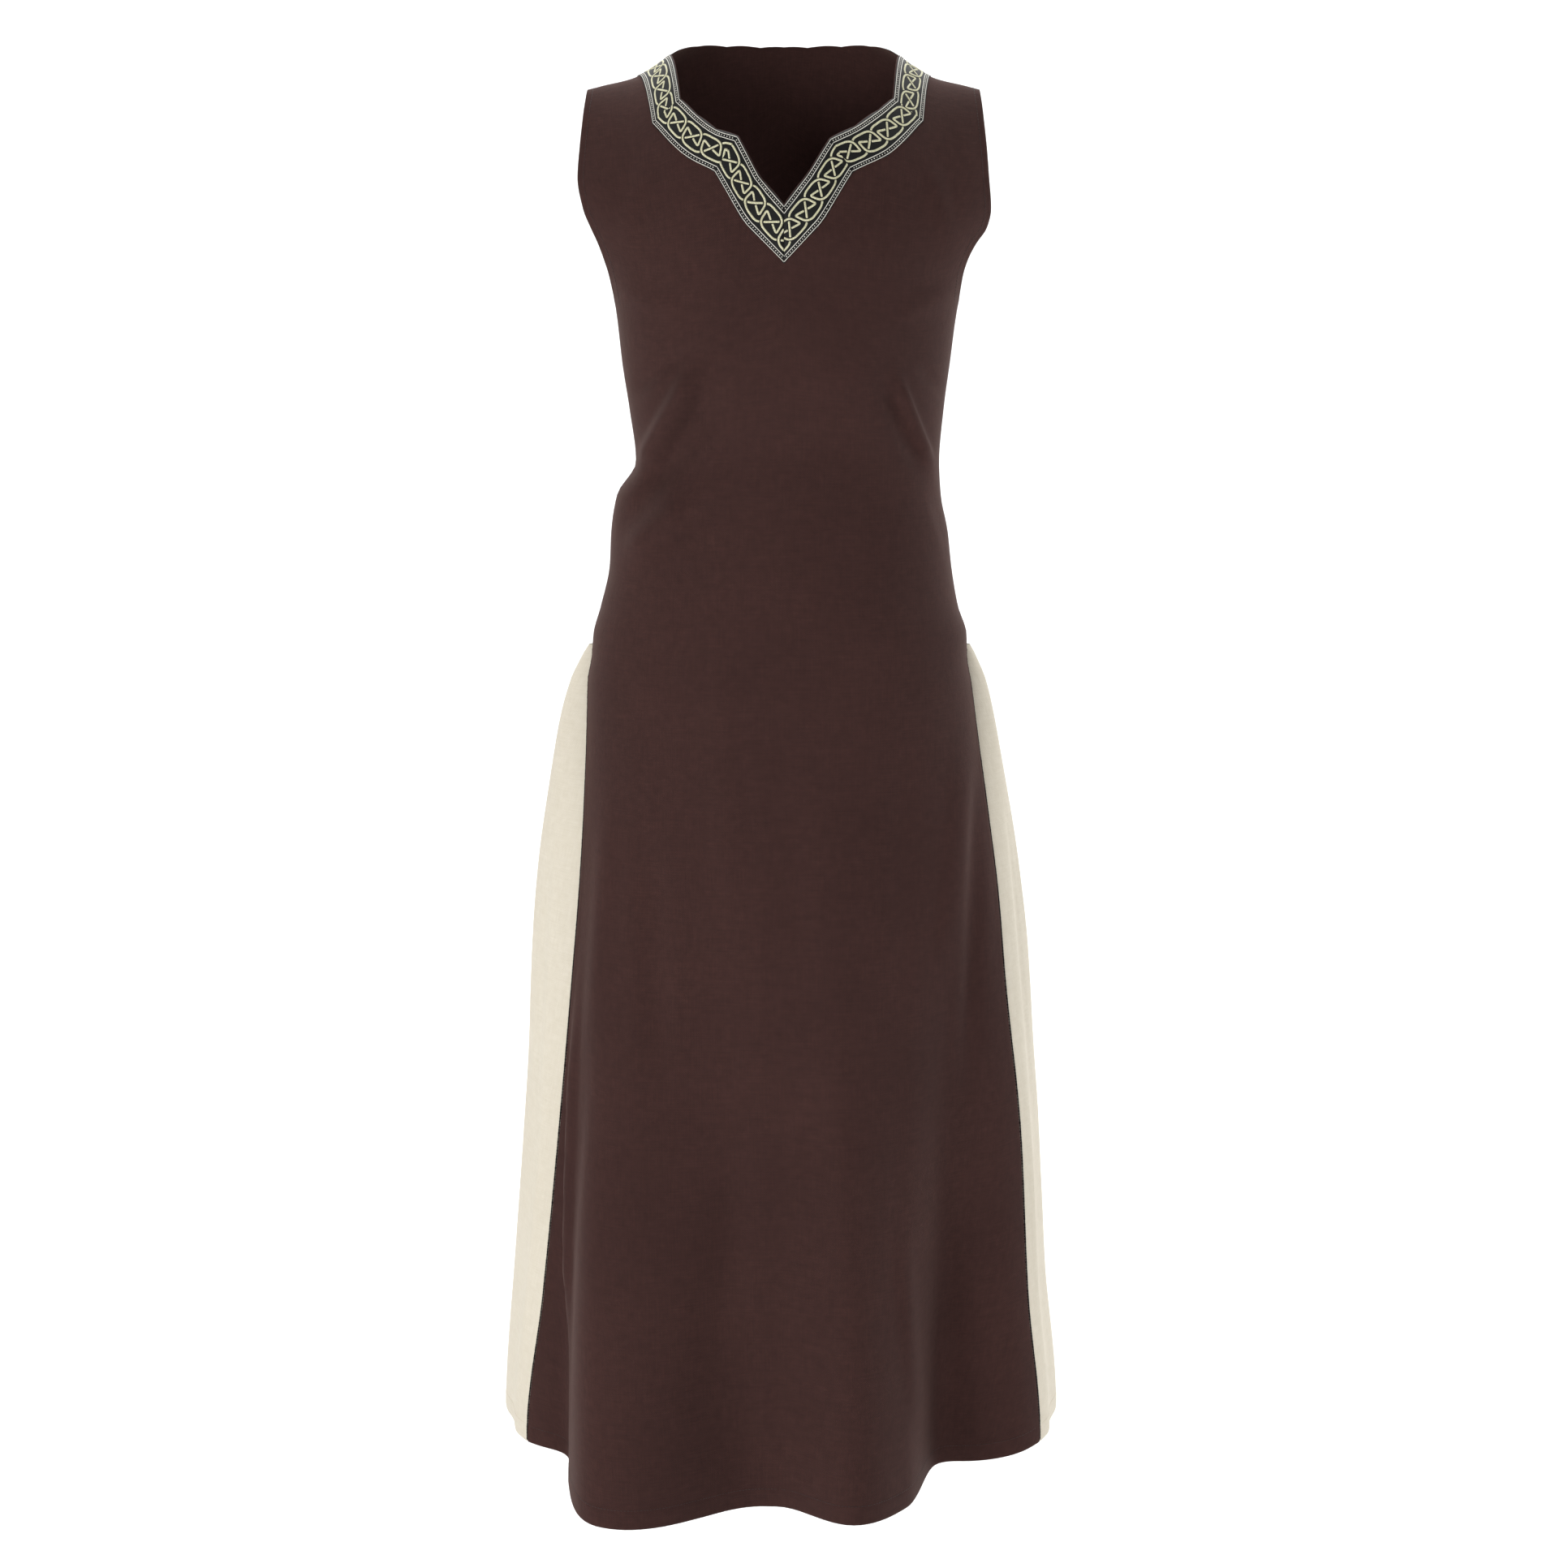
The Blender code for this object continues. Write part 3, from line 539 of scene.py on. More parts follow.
def turned_edge(away, wide):
    """A turned and stitched edge: thicker by one layer, drawn in along its stitches."""
    layer = 0.40 * MM * (1 - step_up(wide, wide + 2.5 * MM, away))
    return layer - 0.35 * MM * bump((away - wide) / (2.2 * MM)) - 0.35 * MM * (1 - step_up(0, 1.5 * MM, away))


def seam_edge(away):
    """Beside a seam: the allowance underneath lifts the cloth, and the edge turns down into the seam."""
    return 0.30 * MM * (1 - step_up(8 * MM, 12 * MM, away)) - 1.0 * MM * (1 - step_up(0, 2.6 * MM, away))


EDGE_COLUMNS = (14, 11, 8.6, 7.4, 6.2, 5.0, 3.6, 2.4, 1.2, 0)    # mm in from the outer end of a row


def row_of_points(side, sign, row, columns):
    """Places along a row, and their distances from its outer end and from the row's start."""
    start, end, level = row
    coarse = [lay(side, *across(side, start, end, level, i / 8)) for i in range(9)]
    length = sum((b - a).length for a, b in zip(coarse, coarse[1:]))
    inner = 1 - EDGE_COLUMNS[0] * MM / length
    shares = [inner * i / columns for i in range(columns)]
    shares += [1 - d * MM / length for d in EDGE_COLUMNS]
    shares[-1] -= 0.15 * MM / length
    places = []
    for share in shares:
        x, laid = across(side, start, end, level, share)
        away = (1 - share) * length
        if end[1] > UNDERARM:
            extra = turned_edge(away, 6 * MM)
        else:
            arm = turned_edge(math.hypot(away, UNDERARM - end[1]), 6 * MM)
            extra = mix(arm, seam_edge(away), step_up(3 * MM, 9 * MM, UNDERARM - end[1]))
        if laid < HEM + 40 * MM:
            extra += turned_edge(laid - HEM, 18 * MM)
        places.append((lay(side, x, laid, extra), share * length))
    return places


# ---- mesh helpers ----

def add_grid(mesh_data, points, flat):
    """Adds a grid of quads. points: rows of places. flat: the same rows' places on the flat cloth."""
    layer = mesh_data.loops.layers.uv.get("cloth") or mesh_data.loops.layers.uv.new("cloth")
    rows = [[mesh_data.verts.new(p) for p in row] for row in points]
    for j in range(len(rows) - 1):
        for i in range(len(rows[0]) - 1):
            corners = ((j, i), (j + 1, i), (j + 1, i + 1), (j, i + 1))
            face = mesh_data.faces.new([rows[a][b] for a, b in corners])
            face.smooth = True
            for loop, (a, b) in zip(face.loops, corners):
                loop[layer].uv = flat[a][b]


def face_outward(mesh_data, heart):
    """Turns all faces of an open sheet the way that points away from a point inside the gown."""
    bmesh.ops.recalc_face_normals(mesh_data, faces=mesh_data.faces)
    mesh_data.normal_update()
    if sum(f.normal.dot(f.calc_center_median() - heart) * f.calc_area() for f in mesh_data.faces) < 0:
        bmesh.ops.reverse_faces(mesh_data, faces=mesh_data.faces)
    mesh_data.normal_update()


def new_piece(name, mesh_data, look):
    mesh = bpy.data.meshes.new(name)
    mesh_data.to_mesh(mesh)
    mesh_data.free()
    mesh.materials.append(look)
    thing = bpy.data.objects.new(name, mesh)
    bpy.context.scene.collection.objects.link(thing)
    return thing


def add_wall(thing, thickness):
    wall = thing.modifiers.new("wall", "SOLIDIFY")
    wall.thickness = thickness
    wall.offset = 0.0
    wall.use_rim = True
    wall.use_even_offset = False


def seat(thing, slot, *nodes):
    """Puts a finished piece on the gown's one body and hides the imported nodes it stands for; slot is not used."""
    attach(thing, "root")
    if nodes:
        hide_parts(*nodes)
    return thing


# ---- materials ----

def linear(hex_colour):
    """A linear colour from an sRGB hex value."""
    parts = [int(hex_colour[i:i + 2], 16) / 255 for i in (1, 3, 5)]
    return tuple(c / 12.92 if c <= 0.04045 else ((c + 0.055) / 1.055) ** 2.4 for c in parts)


def add(tree, kind, links=(), **settings):
    """Adds a node. links: pairs of an input, by name or number, and a value or another node's output."""
    node = tree.nodes.new(kind)
    for name, value in settings.items():
        setattr(node, name, value)
    for socket, source in links:
        if isinstance(source, bpy.types.NodeSocket):
            tree.links.new(source, node.inputs[socket])
        else:
            node.inputs[socket].default_value = source
    return node


def new_look(name):
    look = bpy.data.materials.new(name)
    look.use_nodes = True
    tree = look.node_tree
    tree.nodes.clear()
    shader = add(tree, "ShaderNodeBsdfPrincipled")
    out = add(tree, "ShaderNodeOutputMaterial", [("Surface", shader.outputs["BSDF"])])
    return look, tree, shader


def cotton(name, dark, base, light, thread, sheen, sheen_tint, fade):
    """Plain-woven cotton, washed: dull, a soft fuzz of sheen, threads uneven in thickness and dye."""
    look, tree, shader = new_look(name)
    uv = add(tree, "ShaderNodeUVMap", uv_map="cloth").outputs["UV"]
    split = add(tree, "ShaderNodeSeparateXYZ", [("Vector", uv)])
    # A thread is 0.5 to 0.6 mm in the real cloth; it is drawn coarser, so that the weave shows.
    waves = []
    for axis in ("X", "Y"):
        turn = add(tree, "ShaderNodeMath", [(0, split.outputs[axis]), (1, math.pi / thread)],
                   operation="MULTIPLY")
        waves.append(add(tree, "ShaderNodeMath", [(0, turn.outputs[0])], operation="SINE").outputs[0])
    weave = add(tree, "ShaderNodeMath", [(0, waves[0]), (1, waves[1])], operation="MULTIPLY").outputs[0]

    def streaks(across_scale, down_scale, seed):
        """Noise drawn out along one thread direction."""
        moved = add(tree, "ShaderNodeMapping", [("Vector", uv), ("Location", (seed, seed * 0.7, 0)),
                                                ("Scale", (across_scale, down_scale, 1))])
        return add(tree, "ShaderNodeTexNoise", [("Vector", moved.outputs[0]), ("Scale", 1.0), ("Detail", 2.0),
                                                ("Roughness", 0.6)]).outputs["Fac"]

    warp = streaks(0.8 / thread, 34, 1.3)
    weft = streaks(30, 0.8 / thread, 4.1)
    threads = add(tree, "ShaderNodeMath", [(0, warp), (1, weft)], operation="ADD").outputs[0]
    wash = add(tree, "ShaderNodeTexNoise", [("Vector", uv), ("Scale", 7.0), ("Detail", 3.0),
                                            ("Roughness", 0.55)]).outputs["Fac"]
    mottle = add(tree, "ShaderNodeTexNoise", [("Vector", uv), ("Scale", 120.0), ("Detail", 3.0),
                                              ("Roughness", 0.7)]).outputs["Fac"]
    tone = add(tree, "ShaderNodeMath", [(0, threads), (1, 0.30)], operation="MULTIPLY").outputs[0]
    tone = add(tree, "ShaderNodeMath", [(0, mottle), (1, 0.30), (2, tone)], operation="MULTIPLY_ADD").outputs[0]
    tone = add(tree, "ShaderNodeMath", [(0, wash), (1, fade), (2, tone)], operation="MULTIPLY_ADD").outputs[0]
    tone = add(tree, "ShaderNodeMath", [(0, weave), (1, 0.06), (2, tone)], operation="MULTIPLY_ADD").outputs[0]
    ramp = add(tree, "ShaderNodeValToRGB", [("Fac", tone)])
    middle = 0.30 + 0.15 + fade / 2
    stops = ramp.color_ramp.elements
    stops[0].position, stops[0].color = middle - 0.24, (*linear(dark), 1)
    stops[1].position, stops[1].color = middle + 0.24, (*linear(light), 1)
    centre = stops.new(middle)
    centre.color = (*linear(base), 1)
    tree.links.new(ramp.outputs["Color"], shader.inputs["Base Color"])
    rough = add(tree, "ShaderNodeMapRange", [("Value", threads), ("From Min", 0.6), ("From Max", 1.4),
                                             ("To Min", 0.84), ("To Max", 0.96)])
    tree.links.new(rough.outputs["Result"], shader.inputs["Roughness"])
    height = add(tree, "ShaderNodeMath", [(0, weave), (1, 0.5), (2, threads)], operation="MULTIPLY_ADD")
    fine = add(tree, "ShaderNodeBump", [("Height", height.outputs[0]), ("Strength", 0.35),
                                        ("Distance", 0.25 * MM)])
    soft = add(tree, "ShaderNodeBump", [("Height", mottle), ("Strength", 0.35), ("Distance", 0.8 * MM),
                                        ("Normal", fine.outputs["Normal"])])
    tree.links.new(soft.outputs["Normal"], shader.inputs["Normal"])
    shader.inputs["IOR"].default_value = 1.46
    shader.inputs["Specular IOR Level"].default_value = 0.22
    shader.inputs["Sheen Weight"].default_value = sheen
    shader.inputs["Sheen Roughness"].default_value = 0.45
    shader.inputs["Sheen Tint"].default_value = (*linear(sheen_tint), 1)
    return look


def woven_ribbon(name, dark, light):
    """Satin-faced ribbon ground: close weft ribs with a low gloss, black with greyer flecks."""
    look, tree, shader = new_look(name)
    uv = add(tree, "ShaderNodeUVMap", uv_map="cloth").outputs["UV"]
    split = add(tree, "ShaderNodeSeparateXYZ", [("Vector", uv)])
    # Weft ribs are 0.3 mm in the real ribbon; they are drawn at 0.9 mm, so that they show.
    turn = add(tree, "ShaderNodeMath", [(0, split.outputs["Y"]), (1, 2 * math.pi / (0.9 * MM))],
               operation="MULTIPLY")
    ribs = add(tree, "ShaderNodeMath", [(0, turn.outputs[0])], operation="SINE").outputs[0]
    flecks = add(tree, "ShaderNodeTexNoise", [("Vector", uv), ("Scale", 700.0), ("Detail", 2.0)]).outputs["Fac"]
    tone = add(tree, "ShaderNodeMath", [(0, ribs), (1, 0.12), (2, flecks)], operation="MULTIPLY_ADD")
    ramp = add(tree, "ShaderNodeValToRGB", [("Fac", tone.outputs[0])])
    stops = ramp.color_ramp.elements
    stops[0].position, stops[0].color = 0.40, (*linear(dark), 1)
    stops[1].position, stops[1].color = 0.78, (*linear(light), 1)
    tree.links.new(ramp.outputs["Color"], shader.inputs["Base Color"])
    lift = add(tree, "ShaderNodeBump", [("Height", tone.outputs[0]), ("Strength", 0.4), ("Distance", 0.2 * MM)])
    tree.links.new(lift.outputs["Normal"], shader.inputs["Normal"])
    shader.inputs["Roughness"].default_value = 0.62
    shader.inputs["Specular IOR Level"].default_value = 0.3
    shader.inputs["Sheen Weight"].default_value = 0.08
    shader.inputs["Sheen Roughness"].default_value = 0.5
    return look


def thread_look(name, dark, light, roughness):
    """Spun sewing or embroidery thread: many fine fibres, so slightly mottled, with a soft gloss."""
    look, tree, shader = new_look(name)
    place = add(tree, "ShaderNodeTexCoord").outputs["Object"]
    fibres = add(tree, "ShaderNodeTexNoise", [("Vector", place), ("Scale", 1400.0), ("Detail", 2.0)]).outputs["Fac"]
    ramp = add(tree, "ShaderNodeValToRGB", [("Fac", fibres)])
    stops = ramp.color_ramp.elements
    stops[0].position, stops[0].color = 0.35, (*linear(dark), 1)
    stops[1].position, stops[1].color = 0.65, (*linear(light), 1)
    tree.links.new(ramp.outputs["Color"], shader.inputs["Base Color"])
    lift = add(tree, "ShaderNodeBump", [("Height", fibres), ("Strength", 0.5), ("Distance", 0.15 * MM)])
    tree.links.new(lift.outputs["Normal"], shader.inputs["Normal"])
    shader.inputs["Roughness"].default_value = roughness
    shader.inputs["Sheen Weight"].default_value = 0.1
    return look


# ---- the cloth ----

def make_panel(side, look, thickness):
    mesh_data = bmesh.new()
    columns = 50
    for sign in (-1, 1):
        stations, rows = half_rows(side, sign)
        points, flat = [], []
        for row in rows:
            places = row_of_points(side, sign, row, columns)
            begin = row[0][0]
            points.append([p for p, run in places])
            flat.append([(begin + sign * run, mix(row[0][1], row[1][1], run / places[-1][1]))
                         for p, run in places])
        add_grid(mesh_data, points, flat)
        points, flat = [], []
        for edge, rim, arm, level in stations:
            line = [between(edge, rim, i / 8) for i in range(9)]
            line.insert(1, between(edge, rim, 0.03))
            points.append([lay(side, x, laid, -0.5 * MM if i == 0 else 0.0) for i, (x, laid) in enumerate(line)])
            flat.append(line)
        add_grid(mesh_data, points, flat)
    bmesh.ops.remove_doubles(mesh_data, verts=mesh_data.verts, dist=0.00002)
    face_outward(mesh_data, Vector((0.0, 0.03, -0.70)))
    thing = new_piece(side + "_cloth", mesh_data, look)
    add_wall(thing, thickness)
    return thing


def bend_between(a, control, b, t):
    return a * (1 - t) ** 2 + control * (2 * t * (1 - t)) + b * t * t


def gore_point(sign, z, share, extra=0.0):
    """A gore's point at a height and a share of its width from the front seam."""
    front = lay("front", sign * half_width("front", sign, z), z)
    back = lay("back", sign * half_width("back", sign, z), z)
    x = sign * GORES.read(side_name(sign), z)
    y = GORES.read("y", z)
    out = Vector((x, y, z + HEM_LIFTS.read("front", abs(x)) * (WAIST - z) / (WAIST - HEM)))
    if share <= 0.5:
        control = Vector((out.x, mix(front.y, out.y, GORE_BEND), mix(front.z, out.z, 0.5)))
        point = bend_between(front, control, out, share * 2)
    else:
        control = Vector((out.x, mix(back.y, out.y, GORE_BEND), mix(back.z, out.z, 0.5)))
        point = bend_between(out, control, back, share * 2 - 1)
    fall = max(0.0, (-0.62 - z) / (-0.62 - HEM)) ** 1.4
    for at, w, depth in GORE_FOLDS:
        point.x += sign * depth * fall * bump((share - at) / w)
    for a0, z0, a1, z1, w, h in GORE_CREASES:
        t = (z - z0) / (z1 - z0)
        if 0 < t < 1:
            point.x += sign * h * bump((share - mix(a0, a1, t)) / w) * bump(2 * t - 1)
    calm = bump(2 * share - 1)
    point.x += sign * (0.7 * MM * noise.noise(Vector((share * 5, z * 9, sign * 4.0))) * calm + extra)
    return point


def make_gore(sign, look, thickness):
    mesh_data = bmesh.new()
    points, flat = [], []
    for z in hem_rows(GORE_TOP - 0.5 * MM, 8.5 * MM):
        coarse = [gore_point(sign, z, i / 8) for i in range(9)]
        length = max(sum((b - a).length for a, b in zip(coarse, coarse[1:])), 2 * MM)
        near = [min(d * MM / length, 0.04 + 0.003 * d) for d in (0.15, 1.2, 2.4, 3.6, 6.0)]
        shares = near + [mix(near[-1], 1 - near[-1], i / 34) for i in range(1, 34)] + [1 - n for n in near[::-1]]
        line, marks, run = [], [], 0.0
        for share in shares:
            away = min(share, 1 - share) * length
            extra = seam_edge(away) * min(1.0, length / 0.05)
            if z < HEM + 40 * MM:
                extra += turned_edge(z - HEM, 18 * MM)
            spot = gore_point(sign, z, share, extra)
            run += (spot - line[-1]).length if line else 0.0
            line.append(spot)
            marks.append(run)
        points.append(line)
        flat.append([(m - run / 2, z) for m in marks])
    add_grid(mesh_data, points, flat)
    face_outward(mesh_data, Vector((0.0, 0.03, -0.70)))
    thing = new_piece("gore_" + side_name(sign) + "_cloth", mesh_data, look)
    add_wall(thing, thickness)
    return thing


# ---- the ribbon ----

def raised(side, x, laid, height):
    """The place this far off the cloth's middle surface, straight out from it."""
    here = lay(side, x, laid)
    along = here - lay(side, x - MM, laid)
    down = lay(side, x, laid - MM) - here
    out = along.cross(down).normalized()
    if side == "front" and out.y > 0.01 or side == "back" and out.y < -0.01 or abs(out.y) <= 0.01 and out.z < 0:
        out = -out
    return here + out * height


def ribbon_legs():
    """The ribbon's straight and curved runs, in order round the neck: side, then the inner and outer edges
    as flat places. The ribbon is mitred where a run ends, and the next one begins there."""
    legs = []
    for sign, order in ((-1, 1), (1, -1)):
        rows = neck_points("front", sign)
        for first, last in ((0, 1), (1, 4), (4, 7))[::order]:
            legs.append(("front", rows[first:last + 1][::order]))
    right, left = neck_points("back", 1), neck_points("back", -1)
    return legs + [("back", right), ("back", left[::-1])]


def smooth_through(points, steps):
    """A smooth line through a few places, run on straight for 60 mm at both ends."""
    line = []
    for i in range(len(points) - 1):
        a, b = points[i], points[i + 1]
        before = points[i - 1] if i else a * 2 - b
        after = points[i + 2] if i + 2 < len(points) else b * 2 - a
        for k in range(steps):
            t = k / steps
            line.append(0.5 * (2 * a + (b - before) * t + (2 * before - 5 * a + 4 * b - after) * t * t
                               + (3 * a - before - 3 * b + after) * t ** 3))
    line.append(points[-1])
    lead = (line[0] - line[1]).normalized() * 0.06
    tail = (line[-1] - line[-2]).normalized() * 0.06
    return [line[0] + lead] + line + [line[-1] + tail]


def meet(spot, way, line):
    """Where a straight line through a spot first meets an edge, as a distance along the way."""
    best = None
    for a, b in zip(line, line[1:]):
        run = b - a
        det = way.x * run.y - way.y * run.x
        if abs(det) < 1e-12:
            continue
        along = ((a.x - spot.x) * run.y - (a.y - spot.y) * run.x) / det
        share = ((a.x - spot.x) * way.y - (a.y - spot.y) * way.x) / det
        if -0.001 <= share <= 1.001 and (best is None or abs(along) < abs(best)):
            best = along
    return best


class Leg:
    """One run of the ribbon, with places on it by distance along it and out from its centre line."""

    def __init__(self, side, rows, begins):
        self.side, self.begins = side, begins
        inner = [Vector(between(edge, rim, BARE)) for edge, rim, arm in rows]
        outer = [Vector(rim) for edge, rim, arm in rows]
        self.corners = ((inner[0], outer[0]), (inner[-1], outer[-1]))
        steps = 4 if len(rows) > 2 else 12
        inside, outside = smooth_through(inner, steps), smooth_through(outer, steps)
        points = smooth_through([(a + b) / 2 for a, b in zip(inner, outer)], steps)
        # The lead-in and the run-out are cut finer, so that the edges are followed there too.
        points = ([points[0].lerp(points[1], k / 6) for k in range(6)] + points[1:-1]
                  + [points[-2].lerp(points[-1], k / 6) for k in range(1, 7)])
        self.samples, self.runs = [], []
        start = end = run = 0.0
        for k, spot in enumerate(points):
            way = (points[min(k + 1, len(points) - 1)] - points[max(k - 1, 0)]).normalized()
            here = lay(side, spot.x, min(spot.y, laid_drop(spot.x, 0)))
            right = (here - lay(side, spot.x - MM, min(spot.y, laid_drop(spot.x - MM, 0)))) / MM
            up = (here - lay(side, spot.x, min(spot.y, laid_drop(spot.x, 0)) - MM)) / MM
            if k:
                run += (right * (spot - last).x + up * (spot - last).y).length
            turned = Vector((right.dot(right) * way.x + right.dot(up) * way.y,
                             right.dot(up) * way.x + up.dot(up) * way.y))
            out = Vector((turned.y, -turned.x)).normalized()
            near, far = meet(spot, out, inside), meet(spot, out, outside)
            if near is None or far is None:
                self.samples.append(self.samples[-1] if self.samples else None)
            else:
                self.samples.append((spot + out * near, spot + out * far))
            self.runs.append(run)
            last = spot
            if k == 6:
                start = run
            if k == len(points) - 7:
                end = run
        if self.samples[0] is None:
            first = next(i for i, sample in enumerate(self.samples) if sample)
            for i in range(first):
                self.samples[i] = self.samples[first]
        self.runs = [r - start for r in self.runs]
        self.length = end - start

    def place(self, run, out):
        """The flat place; out is on the scale of a ribbon 37 mm wide, nought on its centre line."""
        i = 0
        while i < len(self.runs) - 2 and run > self.runs[i + 1]:
            i += 1
        span = max(self.runs[i + 1] - self.runs[i], 1e-9)
        t = (run - self.runs[i]) / span
        inner = self.samples[i][0].lerp(self.samples[i + 1][0], t)
        outer = self.samples[i][1].lerp(self.samples[i + 1][1], t)
        return inner.lerp(outer, 0.5 + out / 0.037)

    def cuts(self):
        """The two mitre lines as a point and the direction that leaves the run."""
        centre = self.place(self.length / 2, 0)
        out = []
        for edge, rim in self.corners:
            line = rim - edge
            away = Vector((line.y, -line.x)).normalized()
            if away.dot(edge - centre) < 0:
                away = -away
            out.append((edge, away))
        return out


def make_legs():
    """All runs. The ribbon is cut at the V, so the knot is counted from there on each side: the middles of
    the nearest cells lie these distances from the V along the centre line."""
    legs, begins = [], 0.0
    for side, rows in ribbon_legs():
        leg = Leg(side, rows, begins)
        begins += leg.length
        legs.append(leg)
    point = legs[3].begins
    for leg in legs:
        leg.phase = point - LEFT_CELL if leg.begins < point else point + RIGHT_CELL
    return legs


def smooth_route(points, spacing):
    """A smooth line through places, resampled at even spacing, each with its nearest knot parameter."""
    fine = []
    for i in range(len(points) - 1):
        before = points[i - 1] if i else points[0] * 2 - points[1]
        after = points[i + 2] if i + 2 < len(points) else points[-1] * 2 - points[-2]
        a, b = points[i], points[i + 1]
        steps = max(2, math.ceil((b - a).length / (spacing * 0.5)))
        for k in range(steps):
            t = k / steps
            fine.append(0.5 * (2 * a + (b - before) * t + (2 * before - 5 * a + 4 * b - after) * t * t
                               + (3 * a - before - 3 * b + after) * t ** 3))
    fine.append(points[-1])
    return fine


def add_strip(mesh_data, route, width, heights, rise):
    """A flat-bottomed, round-topped strip along a route of (along, out) places, in its own sizes."""
    rows = []
    for i, spot in enumerate(route):
        a, b = route[max(i - 1, 0)], route[min(i + 1, len(route) - 1)]
        way = (b - a).normalized()
        side = Vector((-way.y, way.x))
        ring_of = []
        for out, up in ((-0.5, -0.5), (-0.42, 0.45), (-0.18, 0.9), (0.18, 0.9), (0.42, 0.45), (0.5, -0.5)):
            flat = spot + side * (out * width)
            ring_of.append(mesh_data.verts.new((flat.x, flat.y, heights[i] + up * rise)))
        rows.append(ring_of)
    for a, b in zip(rows, rows[1:]):
        for k in range(6):
            n = (k + 1) % 6
            face = mesh_data.faces.new((a[k], a[n], b[n], b[k]))
            face.smooth = True
    mesh_data.faces.new(rows[0][::-1])
    mesh_data.faces.new(rows[-1])


def fit_to_leg(mesh_data, leg, base):
    """Lays a leg's pattern, made in (along, out, up), on the ribbon, cut off at its mitres."""
    for vert in mesh_data.verts:
        flat = leg.place(vert.co.x - leg.begins, vert.co.y)
        vert.co = (flat.x, flat.y, vert.co.z)
    for corner, away in leg.cuts():
        geometry = mesh_data.verts[:] + mesh_data.edges[:] + mesh_data.faces[:]
        cut = bmesh.ops.bisect_plane(mesh_data, geom=geometry, dist=1e-6,
                                     plane_co=(corner.x - away.x * 0.2 * MM, corner.y - away.y * 0.2 * MM, 0),
                                     plane_no=(away.x, away.y, 0), clear_outer=True)
        edges = [e for e in cut["geom_cut"] if isinstance(e, bmesh.types.BMEdge) and e.is_boundary]
        if edges:
            bmesh.ops.holes_fill(mesh_data, edges=edges, sides=0)
    for vert in mesh_data.verts:
        vert.co = raised(leg.side, vert.co.x, vert.co.y, base + vert.co.z)


def join_into(target, mesh_data):
    mesh = bpy.data.meshes.new("leg")
    mesh_data.to_mesh(mesh)
    mesh_data.free()
    target.from_mesh(mesh)
    bpy.data.meshes.remove(mesh)


def knot_strand(start, repeat, width):
    """One turn of a strand from the middle of a cell, with its height at each place: it dives under the
    ground where it passes beneath the other strand."""
    points = [Vector((start + a * repeat, o * repeat)) for a, o in KNOT]
    points.append(Vector((start - 2 * repeat, 0)))
    route = smooth_route(points, 1.1 * MM)
    under = [Vector((start, 0)), Vector((start - 2 * repeat, 0))]
    ax, ay = ARC_CROSSING
    for sign in (-1, 1):
        under.append(Vector((start - repeat + sign * ax * repeat, sign * ay * repeat)))
    heights = []
    for spot in route:
        near = min((spot - c).length for c in under)
        heights.append(mix(-0.85 * MM, 0.10 * MM, step_up(width / 2 + 0.55 * MM, width / 2 + 1.35 * MM, near)))
    return route, heights


